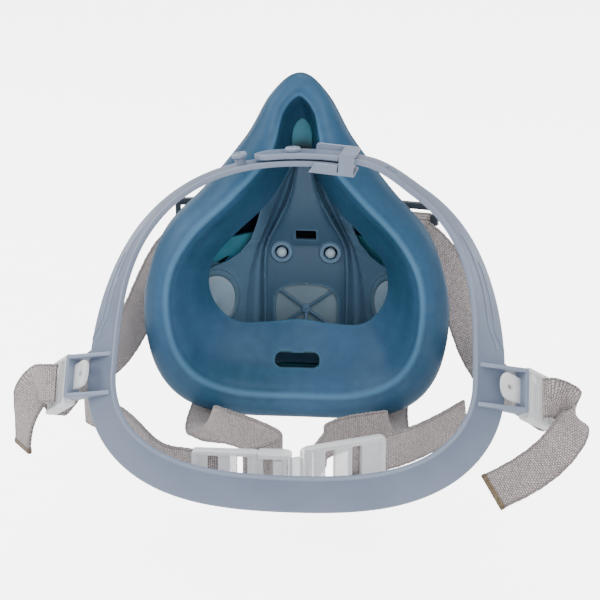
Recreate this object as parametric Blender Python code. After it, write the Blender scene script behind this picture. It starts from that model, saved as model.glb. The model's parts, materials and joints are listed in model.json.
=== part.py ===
"""Reusable half-mask respirator with its head cradle, straps and clasps: a Blender 4.5 model.

Frame: +Z up, +Y the way the wearer looks, +X to the wearer's right, so the face opening looks along -Y.
The origin is the centre of the flat foot under the exhalation cover.
All the sizes below are millimetres, and MM turns them into Blender's metres.
"""

import math

import bpy
import numpy as np

MM = 0.001
GAP = 0.4  # clearance between pieces that touch on the real object
X, Y, Z = np.eye(3)
CORNERS = ((-1, -1), (1, -1), (1, 1), (-1, 1))

# Face seal: one row for each station, from the middle of the chin up the right cheek to the nose tip.
# Each row runs from the lip round the face opening, over the sealing crest, to the front edge at the adapter.
SEAL_STATIONS = (
    (
        (0, -50, 40), (0, -58, 24), (0, -64, 12.5), (0, -58, 3.2),
        (0, -42, 3.6), (0, -26, 5), (0, -15, 7.5),
    ),
    (
        (14, -50, 38.5), (19, -59, 24), (24, -66, 14), (28, -60, 4.6),
        (27, -44, 4.8), (24, -30, 6), (20, -17, 8.5),
    ),
    (
        (26, -51, 39), (35, -61, 29), (40, -70, 21), (45, -64, 11.5),
        (43.5, -48, 11), (40, -35, 11), (36, -25, 13),
    ),
    (
        (34, -53, 46), (42, -64, 39), (49, -72, 34), (55, -66, 25),
        (54, -52, 23), (50, -42, 22), (46, -34, 21.5),
    ),
    (
        (37.5, -54, 56), (45, -65, 54), (52, -73, 52), (59, -67, 46),
        (58, -56, 44), (55, -47, 41), (51.5, -41, 38),
    ),
    (
        (35.5, -53, 67), (43, -64, 68), (49.5, -71, 68), (57, -65, 64),
        (56.5, -55, 60), (54, -47, 57), (50, -41, 54),
    ),
    (
        (27, -50, 77), (35, -61, 80), (41, -68, 82), (49.5, -62, 82),
        (49, -52, 78), (46, -44, 73), (42, -37, 68),
    ),
    (
        (15, -44, 88), (20.5, -55, 93), (26, -62, 96), (33.5, -56, 98),
        (35.5, -48, 94), (34, -40, 88), (29, -33, 82),
    ),
    (
        (6.5, -38, 101), (10, -48, 107), (13, -56, 111), (18.2, -51, 117),
        (20.5, -44, 112), (20.5, -37, 103), (17, -31, 95),
    ),
    (
        (4.2, -35, 114), (5.6, -42, 121), (7, -50, 126), (9.6, -47, 132.5),
        (11, -40, 126), (11, -34, 115), (8, -30, 103),
    ),
    (
        (0, -33, 124), (0, -39, 129), (0, -47, 134), (0, -45, 140),
        (0, -37, 136), (0, -31, 123), (0, -29.5, 106),
    ),
)
SEAL_WALL = (1.2, 1.5, 2.0, 2.4, 2.4, 2.4, 2.4)  # silicone thickness at each column of a station
SEAL_AROUND, SEAL_ALONG = 48, 12
CHIN_SLOT = (18.5, 5.0, 26.0)  # width, height and centre height of the slot in the chin flange

# Centre adapter: the rigid cap that closes the front of the seal.
PANEL_Y = -15.0  # wearer's side of the flat middle panel
PANEL_HALF = 21.0  # half width of the flat panel
WING_SLOPE = 0.9  # how fast each wing falls back beside the panel
BROW_Z, BROW_SLOPE = 62.0, 0.34  # above this height the panel leans back to the nose
ADAPTER_WALL = 2.5
ADAPTER_AROUND, ADAPTER_RINGS = 48, 7
VALVE_Z, VALVE_R = 32.5, 13.5  # exhalation opening
SPOKE = 1.6
STUD_X, STUD_Z = 10.4, 59.2
WINDOW = (9.0, 4.6, 66.6)  # width, height and centre height

# Bayonet ports, one on each wing.
PORT_X, PORT_Z = 38.5, 41.0
PORT_TURN = math.radians(42)  # from +Y towards the side
PORT_BORE, PORT_TUBE, PORT_FLANGE, LUG_R = 11.5, 14.0, 16.4, 16.2

# Front cover over the exhalation valve.
COVER_OUTLINE = (
    (0, 0), (13, 0), (18, 4), (21, 14), (22, 30), (20.5, 48), (16.5, 62), (11, 73), (5, 79), (0, 80.5),
)
COVER_WALL, COVER_FRONT = 2.0, 17.5

# Straps and their yoke.
STRAP_W, STRAP_T = 15.0, 1.3
UPPER_LOOP = (45.5, -13.0, 77.0)  # middle of the upper strap bar, right side
LOWER_LOOP = (37.0, -9.0, 9.5)

# Head cradle: a conical band round an egg-shaped curve in a leaning plane.
CRADLE_SHIFT = 5.0  # the cradle hangs a little towards the wearer's right
CRADLE_FOOT = np.array((CRADLE_SHIFT, -153.0, 8.0))
CRADLE_TILT = math.radians(56)
CRADLE_HALF, REAR_DEPTH, CROWN_DEPTH = 72.0, 42.5, 86.5
UPPER_BULGE, LOWER_BULGE = 5.5, 3.5  # how far the loop is fuller than an ellipse between its four ends
# How far the band's outer face turns towards the back of the head.
CONE, CONE_CROWN = math.radians(50), math.radians(32)
REAR_W, CROWN_W, BAND_T = 15.0, 12.0, 2.0
CROWN_LIFT = 2.9  # the right crown band rides this far over the left one
TONGUE_HINGE, TONGUE_TIP = 13.0, -18.5  # distances from the crown's middle
LEFT_END = 18.5
PEGS = (-23.5, -4.5)
PEG_R, PEG_HEAD_R = 1.7, 2.4
HOLE_R = 3.3
SPARE_HOLE = 37.0
GUIDE = (3.0, 20.0, 14.0)  # left end, right end, and left end of its bridge

# Side keepers and buckles.
KEEPER_HALF, KEEPER_WALL = 8.4, 1.9
KEEPER_BAR_P, KEEPER_BAR_N, KEEPER_BAR_R = 11.6, 3.4, 1.5
BUCKLE_TURN = math.radians(21)
BUCKLE_L, BUCKLE_W, BUCKLE_T = 25.0, 19.5, 2.6

# Neck clasps.
CLASP_PIVOT = np.array((1.5, -137.0, 9.5))
CLASP_H, CLASP_T, PIN_R, BARREL_IN, BARREL_OUT = 17.0, 2.8, 1.5, 2.1, 3.7
CLASP_LEFT_L, CLASP_RIGHT_L = 34.0, 42.0
CLASP_RIGHT_TURN = math.radians(28)


def unit(v):
    v = np.asarray(v, float)
    return v / np.linalg.norm(v)


def smooth(t):
    t = np.clip(t, 0.0, 1.0)
    return t * t * (3 - 2 * t)


def mirror_x(points):
    return [(-p[0], *p[1:]) for p in points]


# ---------------------------------------------------------------- scene and meshes


def clear_scene():
    for obj in list(bpy.data.objects):
        bpy.data.objects.remove(obj)


def make_material(name, colour, roughness, metallic=0.0, alpha=1.0):
    made = bpy.data.materials.new(name)
    made.use_nodes = True
    shader = made.node_tree.nodes["Principled BSDF"]
    shader.inputs["Base Color"].default_value = (*colour, 1.0)
    shader.inputs["Roughness"].default_value = roughness
    shader.inputs["Metallic"].default_value = metallic
    shader.inputs["Alpha"].default_value = alpha
    made.diffuse_color = (*colour, alpha)
    return made


def make_object(name, points, faces, look=None):
    """A mesh object from points in millimetres."""
    mesh = bpy.data.meshes.new(name)
    mesh.from_pydata([tuple(np.asarray(p, float) * MM) for p in points], [], [tuple(f) for f in faces])
    mesh.validate()
    obj = bpy.data.objects.new(name, mesh)
    bpy.context.scene.collection.objects.link(obj)
    if look is not None:
        mesh.materials.append(look)
    mesh.shade_smooth()
    mesh.set_sharp_from_angle(angle=math.radians(35))
    return obj


def helper(name, points, faces):
    """A shape used only by a Boolean."""
    obj = make_object(name, points, faces)
    obj.hide_render = True
    obj.display_type = "WIRE"
    return obj


def boolean(obj, other, operation):
    step = obj.modifiers.new(operation.title() + "_" + other.name, "BOOLEAN")
    step.operation = operation
    step.solver = "EXACT"
    step.object = other


def cut(obj, shape, name):
    boolean(obj, helper(name, *shape), "DIFFERENCE")


def join(obj, shape, name):
    boolean(obj, helper(name, *shape), "UNION")


# ---------------------------------------------------------------- curves and surfaces


def spline(points, count, closed=False):
    """count points along a Catmull-Rom curve through the given ones, evenly spaced in its parameter."""
    p = np.asarray(points, float)
    n = len(p)
    spans = n if closed else n - 1
    ts = np.arange(count) * spans / count if closed else np.linspace(0, spans, count)
    found = []
    for t in ts:
        i = min(int(t), spans - 1)
        f = t - i
        if closed:
            a, b, c, d = (p[(i + k) % n] for k in (-1, 0, 1, 2))
        else:
            b, c = p[i], p[i + 1]
            a = p[i - 1] if i > 0 else 2 * b - c
            d = p[i + 2] if i + 2 < n else 2 * c - b
        found.append(
            0.5 * (2 * b + (c - a) * f + (2 * a - 5 * b + 4 * c - d) * f * f + (3 * b - 3 * c + d - a) * f**3)
        )
    return np.array(found)


def both_sides(half):
    """A closed outline from one that runs from the bottom middle, up the right side, to the top middle."""
    return list(half) + mirror_x(half[-2:0:-1])


def loft(rings, close=False, caps=True):
    """Points and faces of a skin over rings of equal length. close joins the last ring to the first."""
    rings = [np.asarray(r, float) for r in rings]
    n, m = len(rings[0]), len(rings)
    points = [p for r in rings for p in r]
    faces = []
    for i in range(m if close else m - 1):
        a, b = i * n, (i + 1) % m * n
        faces += [(a + j, a + (j + 1) % n, b + (j + 1) % n, b + j) for j in range(n)]
    if caps and not close:
        faces.append(tuple(range(n))[::-1])
        faces.append(tuple((m - 1) * n + j for j in range(n)))
    return facing_out(points, faces)


def facing_out(points, faces):
    """Turns every face round if the solid they bound has negative volume."""
    p = np.asarray(points, float)
    volume = 0.0
    for f in faces:
        for k in range(1, len(f) - 1):
            volume += np.dot(p[f[0]], np.cross(p[f[k]], p[f[k + 1]]))
    return (points, faces) if volume > 0 else (points, [tuple(f)[::-1] for f in faces])


def thick_sheet(sheet, walls):
    """A closed skin round an open sheet of rings: the second side lies walls[i] behind ring i."""
    along = np.gradient(sheet, axis=0)
    around = (np.roll(sheet, -1, axis=1) - np.roll(sheet, 1, axis=1)) / 2
    normal = np.cross(around, along)
    normal /= np.linalg.norm(normal, axis=2, keepdims=True)
    back = sheet - normal * np.asarray(walls)[:, None, None]
    return sheet, back


def block(centre, axes, halves):
    """A box by its centre, three directions and half sizes."""
    a, b, c = (np.asarray(v, float) * h for v, h in zip(axes, halves))
    rings = [[np.asarray(centre) + i * a + j * b + k * c for i, j in CORNERS] for k in (-1, 1)]
    return loft(rings)


def prism(outline, origin, axes, low, high):
    """A flat outline in the plane of the first two axes, extruded along the third."""
    a, b, c = axes
    rings = [[np.asarray(origin) + u * a + v * b + w * c for u, v in outline] for w in (low, high)]
    return loft(rings)


def turned(profile, origin, axis, steps=30):
    """A closed profile of (radius, distance along axis) points turned about the axis."""
    axis = unit(axis)
    side = unit(np.cross(axis, X if abs(axis[0]) < 0.9 else Z))
    other = np.cross(axis, side)
    rings = []
    for r, h in profile:
        turns = [2 * math.pi * k / steps for k in range(steps)]
        spokes = [math.cos(t) * side + math.sin(t) * other for t in turns]
        rings.append([np.asarray(origin) + axis * h + r * spoke for spoke in spokes])
    return rings


def solid_turned(profile, origin, axis, steps=30):
    return loft(turned(profile, origin, axis, steps))


def ring_turned(profile, origin, axis, steps=30):
    return loft(turned(profile, origin, axis, steps), close=True)


def circle(radius, steps, centre=(0.0, 0.0), start=0.0, sweep=2 * math.pi):
    share = steps if sweep > 6.28 else steps - 1
    angles = [start + sweep * k / share for k in range(steps)]
    return [(centre[0] + radius * math.cos(t), centre[1] + radius * math.sin(t)) for t in angles]


def stadium(width, height, steps=9):
    """An upright-ended slot outline, width along the first axis."""
    r = height / 2
    half = width / 2 - r
    right = circle(r, steps, (half, 0), -math.pi / 2, math.pi)
    left = circle(r, steps, (-half, 0), math.pi / 2, math.pi)
    return right + left


def ribbon(path, widths, count, width=STRAP_W, thickness=STRAP_T):
    """Webbing swept along a path, lying along the width directions given at the path's points."""
    centre = spline(path, count)
    across = spline(widths, count)
    along = np.gradient(centre, axis=0)
    rings = []
    for c, w, t in zip(centre, across, along):
        t = unit(t)
        w = unit(w - t * np.dot(w, t))
        n = np.cross(t, w)
        rings.append([c + w * width / 2 * i + n * thickness / 2 * j for i, j in CORNERS])
    return loft(rings)


# ---------------------------------------------------------------- facepiece


def seal_sheet(around, along):
    """The seal's outer side as rings, from the lip of the face opening to the front edge."""
    columns = len(SEAL_STATIONS[0])
    loops = [spline(both_sides([s[k] for s in SEAL_STATIONS]), around, closed=True) for k in range(columns)]
    return np.array([spline([loop[j] for loop in loops], along) for j in range(around)]).transpose(1, 0, 2)


def make_face_seal(look):
    sheet = seal_sheet(SEAL_AROUND, SEAL_ALONG)
    walls = np.interp(np.linspace(0, len(SEAL_WALL) - 1, SEAL_ALONG), range(len(SEAL_WALL)), SEAL_WALL)
    face, back = thick_sheet(sheet, walls)
    seal = make_object("face_seal", *loft([*face, *back[::-1]], close=True), look)
    width, height, z = CHIN_SLOT
    cut(seal, prism(stadium(width, height), (0, 0, z), (X, Z, -Y), 46, 80), "chin_slot_cutter")
    return seal


def panel_y(x, z):
    """Wearer's side of the adapter, away from its rim."""
    wing = WING_SLOPE * max(0.0, abs(x) - PANEL_HALF)
    brow = BROW_SLOPE * max(0.0, z - BROW_Z)
    return PANEL_Y - math.hypot(wing, brow)


def adapter_sheet(around, rings):
    """The adapter's wearer side, as rings from near its middle out to the rim ahead of the seal's edge."""
    rim = seal_sheet(around, 7)[-1] + Y
    middle = np.array((0.0, PANEL_Y, 42.0))
    sheet = []
    for k in range(rings):
        share = 0.06 + 0.94 * k / (rings - 1)
        ring = middle + (rim - middle) * share
        near_rim = smooth((share - 0.72) / 0.28)
        for p, edge in zip(ring, rim):
            p[1] = (1 - near_rim) * panel_y(p[0], p[2]) + near_rim * edge[1]
        sheet.append(ring)
    return np.array(sheet)


def port_frame(side):
    """Centre on the wing's wearer side, outward axis, and the axis across the wing."""
    centre = np.array((side * PORT_X, panel_y(PORT_X, PORT_Z), PORT_Z))
    axis = np.array((side * math.sin(PORT_TURN), math.cos(PORT_TURN), 0.0))
    return centre, axis


def make_center_adapter(look):
    sheet = adapter_sheet(ADAPTER_AROUND, ADAPTER_RINGS)
    front = sheet + np.array((0, ADAPTER_WALL, 0))
    body = make_object("center_adapter", *loft([*sheet, *front[::-1]]), look)
    for side, name in ((1, "right"), (-1, "left")):
        centre, axis = port_frame(side)
        hole = [(PORT_TUBE + GAP, -12), (PORT_TUBE + GAP, 12)]
        cut(body, solid_turned(hole, centre, axis), f"port_cutter_{name}")
        seat = [(PORT_FLANGE + 2.4, 1.9), (PORT_FLANGE + 2.4, 14)]
        cut(body, solid_turned(seat, centre, axis), f"port_seat_cutter_{name}")
        boss = [(4.3, -1.2), (4.3, 1.0)]
        stud_at = (side * STUD_X, PANEL_Y, STUD_Z)
        join(body, solid_turned(boss, stud_at, Y, 24), f"stud_boss_{name}")
        cut(body, solid_turned([(2.1, -5), (2.1, 8)], stud_at, Y, 24), f"stud_hole_cutter_{name}")
    width, height, z = WINDOW
    cut(body, block((0, PANEL_Y, z), (X, Y, Z), (width / 2, 8, height / 2)), "window_cutter")
    valve = (0, PANEL_Y, VALVE_Z)
    cut(body, solid_turned([(VALVE_R, -4), (VALVE_R, 8)], valve, Y), "valve_cutter")
    for k, angle in enumerate((38, 142, 218, 322, 270)):
        way = np.array((math.cos(math.radians(angle)), 0, math.sin(math.radians(angle))))
        over = VALVE_R + 0.7
        centre = np.array(valve) + way * (over + 2.2) / 2 + Y * 1.0
        across = np.cross(way, Y)
        join(body, block(centre, (way, across, Y), ((over - 2.2) / 2, SPOKE / 2, 0.8)), f"valve_spoke_{k}")
    hub = [(3.2, 0.1), (3.2, 1.9), (1.7, 1.9), (1.7, 0.1)]
    join(body, ring_turned(hub, valve, Y, 24), "valve_hub")
    return body


def make_exhalation_flap(look):
    """A silicone disc with a stem that passes through the seat's hub."""
    face = ADAPTER_WALL + GAP
    over = VALVE_R + 1.2
    profile = [(1.3, -2.2), (1.3, face), (over, face), (over, face + 0.6), (2.4, face + 0.9)]
    make_object("exhalation_flap", *solid_turned(profile, (0, PANEL_Y, VALVE_Z), Y), look)


def make_stud(name, side, look):
    """A push-in stud that holds the yoke and cover to the adapter."""
    profile = [(1.2, -3.4), (2.2, -3.0), (2.6, -2.2), (2.6, -1.6), (1.6, -1.5), (1.6, 2.9)]
    make_object(name, *solid_turned(profile, (side * STUD_X, PANEL_Y, STUD_Z), Y, 24), look)


def cover_ring(inset, y):
    """The cover's outline at one depth, drawn in by inset; a callable y follows the adapter's lean."""
    centre = np.array((0.0, 38.0))
    outline = spline(both_sides(COVER_OUTLINE), 40, closed=True)
    outline[:, 1] = np.maximum(outline[:, 1], 0.0)
    reach = np.linalg.norm(outline - centre, axis=1, keepdims=True)
    drawn = centre + (outline - centre) * (reach - inset) / reach
    return np.array([(x, y(x, z) if callable(y) else y, z) for x, z in drawn])


def back_edge(x, z):
    return panel_y(0, z) + ADAPTER_WALL + GAP


def make_front_cover(look):
    """A hollow cover, open at the back, with outlet slots low on its front."""
    steps = ((0, 8.5), (1.2, 12), (4, 15), (9, 17))
    outer = [cover_ring(0, back_edge), *(cover_ring(inset, y) for inset, y in steps)]
    outer.append(cover_ring(16, COVER_FRONT))
    inner = [cover_ring(18, COVER_FRONT - 2), cover_ring(10, 15), cover_ring(5, 12.5), cover_ring(2.6, 9)]
    inner.append(cover_ring(COVER_WALL, back_edge))
    cover = make_object("front_cover", *loft([*outer[::-1], *inner[::-1]]), look)
    for k in range(4):
        z = 9.0 + 5.2 * k
        cut(cover, block((0, 14, z), (X, Y, Z), (10.5 - 0.6 * k, 8, 1.2)), f"outlet_cutter_{k}")
    return cover


def loop_end(body, centre, bar, out, thin, name):
    """A slotted strap loop joined to body: bar along its slot, out away from the yoke."""
    half = STRAP_W / 2
    join(body, block(centre, (bar, out, thin), (half + 3.0, 4.6, 1.4)), f"{name}_loop")
    cut(body, block(centre + out * 0.4, (bar, out, thin), (half + 0.8, 1.6, 3.0)), f"{name}_slot_cutter")


def make_harness_yoke(look):
    """A frame round the cover with four arms, each ending in a strap loop."""
    inner = cover_ring(-0.5, -5.4)
    outer = cover_ring(-5.0, -5.4)
    inner[:, 2] = np.maximum(inner[:, 2], 3.2)
    outer[:, 2] = np.maximum(outer[:, 2], 0.8)
    rise = np.array((0, 3.2, 0))
    rings = [outer, outer + rise, inner + rise, inner]
    yoke = make_object("harness_yoke", *loft(rings, close=True), look)
    foot = block((0, -2.0, -20), (X, Y, Z), (19.0, 20, 24.0))
    cut(yoke, foot, "yoke_foot_cutter")
    for side, name in ((1, "right"), (-1, "left")):
        for low, loop in ((False, UPPER_LOOP), (True, LOWER_LOOP)):
            end = np.array((side * loop[0], loop[1], loop[2]))
            start = np.array((side * (22.5 if low else 18.5), -4.0, 14.0 if low else 70.0))
            mid = (start + end) / 2 + Y * 2.5
            inside = end - unit(end - start) * 4.0
            arm = ribbon([start, mid, inside], [Z, Z, Z], 7, 9.0, 2.6)
            tag = f"{'lower' if low else 'upper'}_{name}"
            join(yoke, arm, f"arm_{tag}")
            bar = unit((1, -side * 0.25, 0)) if not low else X
            thin = unit(np.cross(bar, Z)) if not low else unit((0, 1, 1.2))
            out = np.cross(thin, bar)
            loop_end(yoke, end, bar, out, thin, tag)
    return yoke


def make_port(name, side, look):
    """A bayonet tube with its base flange, three lugs and a spider that holds the inhalation flap."""
    centre, axis = port_frame(side)
    tube = [(PORT_BORE, -1.0), (PORT_BORE, 11.0), (PORT_TUBE, 11.0), (PORT_TUBE, 4.6), (PORT_FLANGE, 4.6)]
    tube += [(PORT_FLANGE, 2.3), (PORT_TUBE, 2.3), (PORT_TUBE, -1.0)]
    port = make_object(name, *ring_turned(tube, centre, axis, 32), look)
    across = unit(np.cross(axis, Z))
    for k in range(3):
        start = math.radians(120 * k + 10)
        arc = circle(LUG_R, 7, start=start, sweep=math.radians(40))
        arc += circle(PORT_TUBE - 0.8, 7, start=start, sweep=math.radians(40))[::-1]
        join(port, prism(arc, centre, (across, Z, axis), 8.6, 10.4), f"{name}_lug_{k}")
    for k in range(3):
        angle = math.radians(90 + 120 * k)
        way = across * math.cos(angle) + Z * math.sin(angle)
        bar = block(centre + way * 7.0 + axis * 1.4, (way, np.cross(way, axis), axis), (6.0, 0.9, 1.0))
        join(port, bar, f"{name}_spoke_{k}")
    join(port, solid_turned([(2.6, 0.4), (2.6, 2.4)], centre, axis, 24), f"{name}_hub")
    return port


def make_port_gasket(name, side, look):
    centre, axis = port_frame(side)
    low, high = 4.6 + GAP, 6.6
    inner, outer = PORT_TUBE + GAP, PORT_FLANGE + 1.2
    profile = [(inner, low), (inner, high), (outer, high), (outer, low)]
    make_object(name, *ring_turned(profile, centre, axis, 32), look)


def make_inhalation_flap(name, side, look):
    """A thin disc on the wearer's side of a port's spider."""
    centre, axis = port_frame(side)
    reach = PORT_BORE - 0.7
    profile = [(1.5, -1.2), (reach, -1.0), (reach, -0.5), (1.5, 0.0)]
    make_object(name, *solid_turned(profile, centre, axis), look)


# ---------------------------------------------------------------- head cradle


UP_PLANE = np.array((0, math.cos(CRADLE_TILT), math.sin(CRADLE_TILT)))
OFF_PLANE = np.array((0, -math.sin(CRADLE_TILT), math.cos(CRADLE_TILT)))


def cradle_centre(phi):
    depth, bulge = (CROWN_DEPTH, UPPER_BULGE) if math.sin(phi) > 0 else (REAR_DEPTH, LOWER_BULGE)
    fuller = bulge * math.sin(2 * phi) ** 2
    across = (CRADLE_HALF + fuller) * math.cos(phi)
    up = REAR_DEPTH + (depth + fuller) * math.sin(phi)
    return CRADLE_FOOT + X * across + UP_PLANE * up


def cradle_frame(phi):
    """The band's centre and its length, width and outward directions, at angle phi from the right side."""
    centre = cradle_centre(phi)
    along = unit(cradle_centre(phi + 0.004) - cradle_centre(phi - 0.004))
    out = np.cross(along, OFF_PLANE)
    cone = CONE + (CONE_CROWN - CONE) * smooth(math.sin(phi))
    face = math.cos(cone) * out + math.sin(cone) * OFF_PLANE
    across = -math.sin(cone) * out + math.cos(cone) * OFF_PLANE
    return centre, np.cross(face, across), across, face


def band_width(phi):
    return REAR_W + (CROWN_W - REAR_W) * smooth((math.sin(phi) - 0.1) / 0.5)


def crown_angle(x):
    """The angle at which the crown passes this distance from its middle."""
    return math.acos(x / CRADLE_HALF)


def band_rings(start, stop, count, lift):
    """Rectangular rings along the band; lift(phi) raises it along its outward face."""
    rings = []
    for phi in np.linspace(start, stop, count):
        centre, _, across, face = cradle_frame(phi)
        centre = centre + face * lift(phi)
        w, t = band_width(phi) / 2, BAND_T / 2
        rings.append([centre + across * w * i + face * t * j for i, j in CORNERS])
    return rings


def crown_block(x, length, across_mid, across_half, low, high):
    """A box on the crown: x from its middle, then its span across the band and along the outward face."""
    phi = crown_angle(x)
    centre, along, across, face = cradle_frame(phi)
    middle = centre + across * across_mid + face * (low + high) / 2
    return block(middle, (along, across, face), (length / 2, across_half, (high - low) / 2))


def make_head_cradle(look):
    """The moulded loop: the rear band, both crown bands, the side keepers and the adjusting pegs."""
    start, stop = crown_angle(TONGUE_HINGE + GAP), crown_angle(LEFT_END) - 2 * math.pi

    def lift(phi):
        return CROWN_LIFT * smooth((phi - crown_angle(42)) / (crown_angle(23) - crown_angle(42)))

    cradle = make_object("head_cradle", *loft(band_rings(start, stop, 84, lift)), look)
    for x in PEGS:
        centre, _, _, face = cradle_frame(crown_angle(x))
        profile = [(PEG_R, 0.5), (PEG_R, 3.9), (PEG_HEAD_R, 4.4), (PEG_HEAD_R, 5.4), (PEG_HEAD_R - 0.5, 5.8)]
        join(cradle, solid_turned(profile, centre, face, 24), f"peg_{abs(int(x))}")
    for side, phi in (("right", 0.0), ("left", math.pi)):
        centre, along, across, face = cradle_frame(phi)
        for end in (-1, 1):
            wall = (KEEPER_HALF - KEEPER_WALL / 2) * end
            middle = centre + along * wall - across * 4.4 + face * 2.9
            wall = block(middle, (along, across, face), (KEEPER_WALL / 2, 8.8, 2.4))
            join(cradle, wall, f"keeper_{side}_{end + 1}")
        bar_at = centre - across * KEEPER_BAR_P + face * KEEPER_BAR_N
        bar = [(KEEPER_BAR_R, -KEEPER_HALF + 0.5), (KEEPER_BAR_R, KEEPER_HALF - 0.5)]
        join(cradle, solid_turned(bar, bar_at, along, 20), f"keeper_bar_{side}")
    centre, _, _, face = cradle_frame(crown_angle(SPARE_HOLE))
    cut(cradle, solid_turned([(HOLE_R, -4), (HOLE_R, 8)], centre, face, 24), "spare_hole_cutter")
    return cradle


def make_crown_tongue(look):
    """The free end of the right crown band, with the hole that snaps over a peg."""
    start, stop = crown_angle(TONGUE_HINGE), crown_angle(TONGUE_TIP + 6)
    rings = band_rings(start, stop, 14, lambda phi: CROWN_LIFT)
    for k in range(1, 6):
        turn = math.radians(18 * k - 4)
        tip = crown_angle(TONGUE_TIP + 6 - 6 * math.sin(turn))
        ring = band_rings(tip, tip, 1, lambda phi: CROWN_LIFT)[0]
        middle = sum(ring) / 4
        _, _, across, _ = cradle_frame(tip)
        narrow = math.cos(turn)
        rings.append([p - across * np.dot(p - middle, across) * (1 - narrow) for p in ring])
    tongue = make_object("crown_tongue", *loft(rings), look)
    centre, _, _, face = cradle_frame(crown_angle(PEGS[1]))
    cut(tongue, solid_turned([(HOLE_R, -2), (HOLE_R, 9)], centre, face, 28), "peg_hole_cutter")
    return tongue


def make_crown_guide(look):
    """The buckle round both crown bands: a floor, two walls and a bridge at its right end."""
    left, right, bridge = GUIDE
    middle, length = (left + right) / 2, right - left
    side = CROWN_W / 2 + 1.1
    guide = make_object("crown_guide", *crown_block(middle, length, 0, side + 1.3, -3.6, -2.1), look)
    for end in (-1, 1):
        wall = crown_block(middle, length - 0.4, end * (side + 0.8), 0.8, -3.2, 5.6)
        join(guide, wall, f"guide_wall_{end + 1}")
    top = crown_block((bridge + right) / 2, right - bridge, 0, side + 1.2, 4.3, 5.8)
    join(guide, top, "guide_bridge")
    return guide


# ---------------------------------------------------------------- side buckles and straps


def buckle_frame(side):
    """Pivot on the keeper bar, then along the bar, away from the cradle, and outward."""
    phi = 0.0 if side > 0 else math.pi
    centre, along, across, face = cradle_frame(phi)
    pivot = centre - across * KEEPER_BAR_P + face * KEEPER_BAR_N
    away = -math.cos(BUCKLE_TURN) * across - math.sin(BUCKLE_TURN) * face
    outward = -math.sin(BUCKLE_TURN) * across + math.cos(BUCKLE_TURN) * face
    return pivot, along, away, outward


def make_side_buckle(name, side, look):
    """A clear ladder buckle that hooks round the keeper bar, with a tab inside the keeper."""
    pivot, along, away, outward = buckle_frame(side)
    axes = (along, away, outward)
    wall = KEEPER_HALF - KEEPER_WALL - 0.9
    hook = circle(3.9, 13, sweep=-math.pi) + circle(2.3, 13, start=-math.pi, sweep=math.pi)
    barrel = prism(hook, pivot, (away, outward, along), -wall, wall)
    buckle = make_object(name, *barrel, look)
    plate_at = pivot + away * (3.3 + BUCKLE_L / 2)
    half = (BUCKLE_W / 2, BUCKLE_L / 2, BUCKLE_T / 2)
    join(buckle, block(plate_at - outward * 0.9, axes, half), f"{name}_plate")
    for k, at in enumerate((11.0, 19.0)):
        slot = block(pivot + away * at, axes, (BUCKLE_W / 2 - 1.9, 1.9, 6))
        cut(buckle, slot, f"{name}_slot_cutter_{k}")
    tab_at = pivot - away * 6.4
    tab = [(-4.6, 3.8), (4.6, 3.8), (4.6, -1.5), (3.2, -4.0), (0, -5.0), (-3.2, -4.0), (-4.6, -1.5)]
    join(buckle, prism(tab, tab_at, (along, away, outward), -1.3, 0.3), f"{name}_tab")
    cut(buckle, block(tab_at - away * 1.2, axes, (0.7, 1.7, 4)), f"{name}_tab_cutter")
    return buckle


def make_upper_strap(name, side, look):
    """Webbing from the yoke's upper loop, past the cheek, to the side buckle."""
    pivot, along, away, outward = buckle_frame(side)
    end = pivot + away * 32.0 - outward * 6.0
    loop = np.array(UPPER_LOOP)
    path = [
        (side * loop[0], loop[1] - 0.5, loop[2] - 10.6),
        (side * 59.0, -22.0, 60.0),
        (side * 69.5, -40.0, 38.0),
        (side * 75.0, -58.0, 29.5),
        (side * 80.0 + 2.0, -78.0, 30.0),
        tuple(end),
    ]
    widths = [(1, -side * 0.2, 0), (0.8, 0.1, side * 0.3), (0.75, 0.35, side * 0.5), (0.3, 0.2, side * 0.9)]
    widths += [(0.1, 0.3, side * 0.95), tuple(along * side * math.copysign(1, along[2]))]
    make_object(name, *ribbon(path, widths, 26), look)


def make_strap_tail(name, side, look):
    """The free end that leaves the buckle's outer side and curls down."""
    pivot, along, away, outward = buckle_frame(side)
    up = along * math.copysign(1, along[2])
    start = pivot + away * 14.0 + outward * 3.2
    if side > 0:
        path = [start, start + away * 1.5 + outward * 4.5, (107, -116.5, 32), (109.5, -120, 28.5)]
        path += [(107, -124.5, 23.5), (100.5, -130, 17), (91, -135, 11), (79, -139, 5.4)]
        widths = [up, (-0.1, 0.3, 0.93), (-0.2, 0.2, 0.95), (-0.35, 0.2, 0.92)]
        widths += [(-0.5, 0.25, 0.83), (-0.6, 0.3, 0.7), (-0.64, 0.4, 0.58), (-0.64, 0.5, 0.45)]
    else:
        path = [start, start + away * 3 + outward * 3, (-97, -110, 31), (-100.5, -111, 23)]
        path += [(-102, -112, 14), (-102.5, -112.5, 6)]
        widths = [up, (0.05, 0.35, 0.93), (-0.1, 0.3, 0.93), (-0.4, 0.5, 0.77)]
        widths += [(-0.5, 0.75, 0.35), (-0.5, 0.8, 0.3)]
    make_object(name, *ribbon(path, widths, 22), look)


# ---------------------------------------------------------------- neck straps and clasps


def clasp_axes(side):
    """The clasp's directions: away from the pivot, across its face, and up."""
    turn = CLASP_RIGHT_TURN if side > 0 else math.pi
    away = np.array((math.cos(turn), math.sin(turn), 0.0))
    return away, np.cross(Z, away), Z


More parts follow.
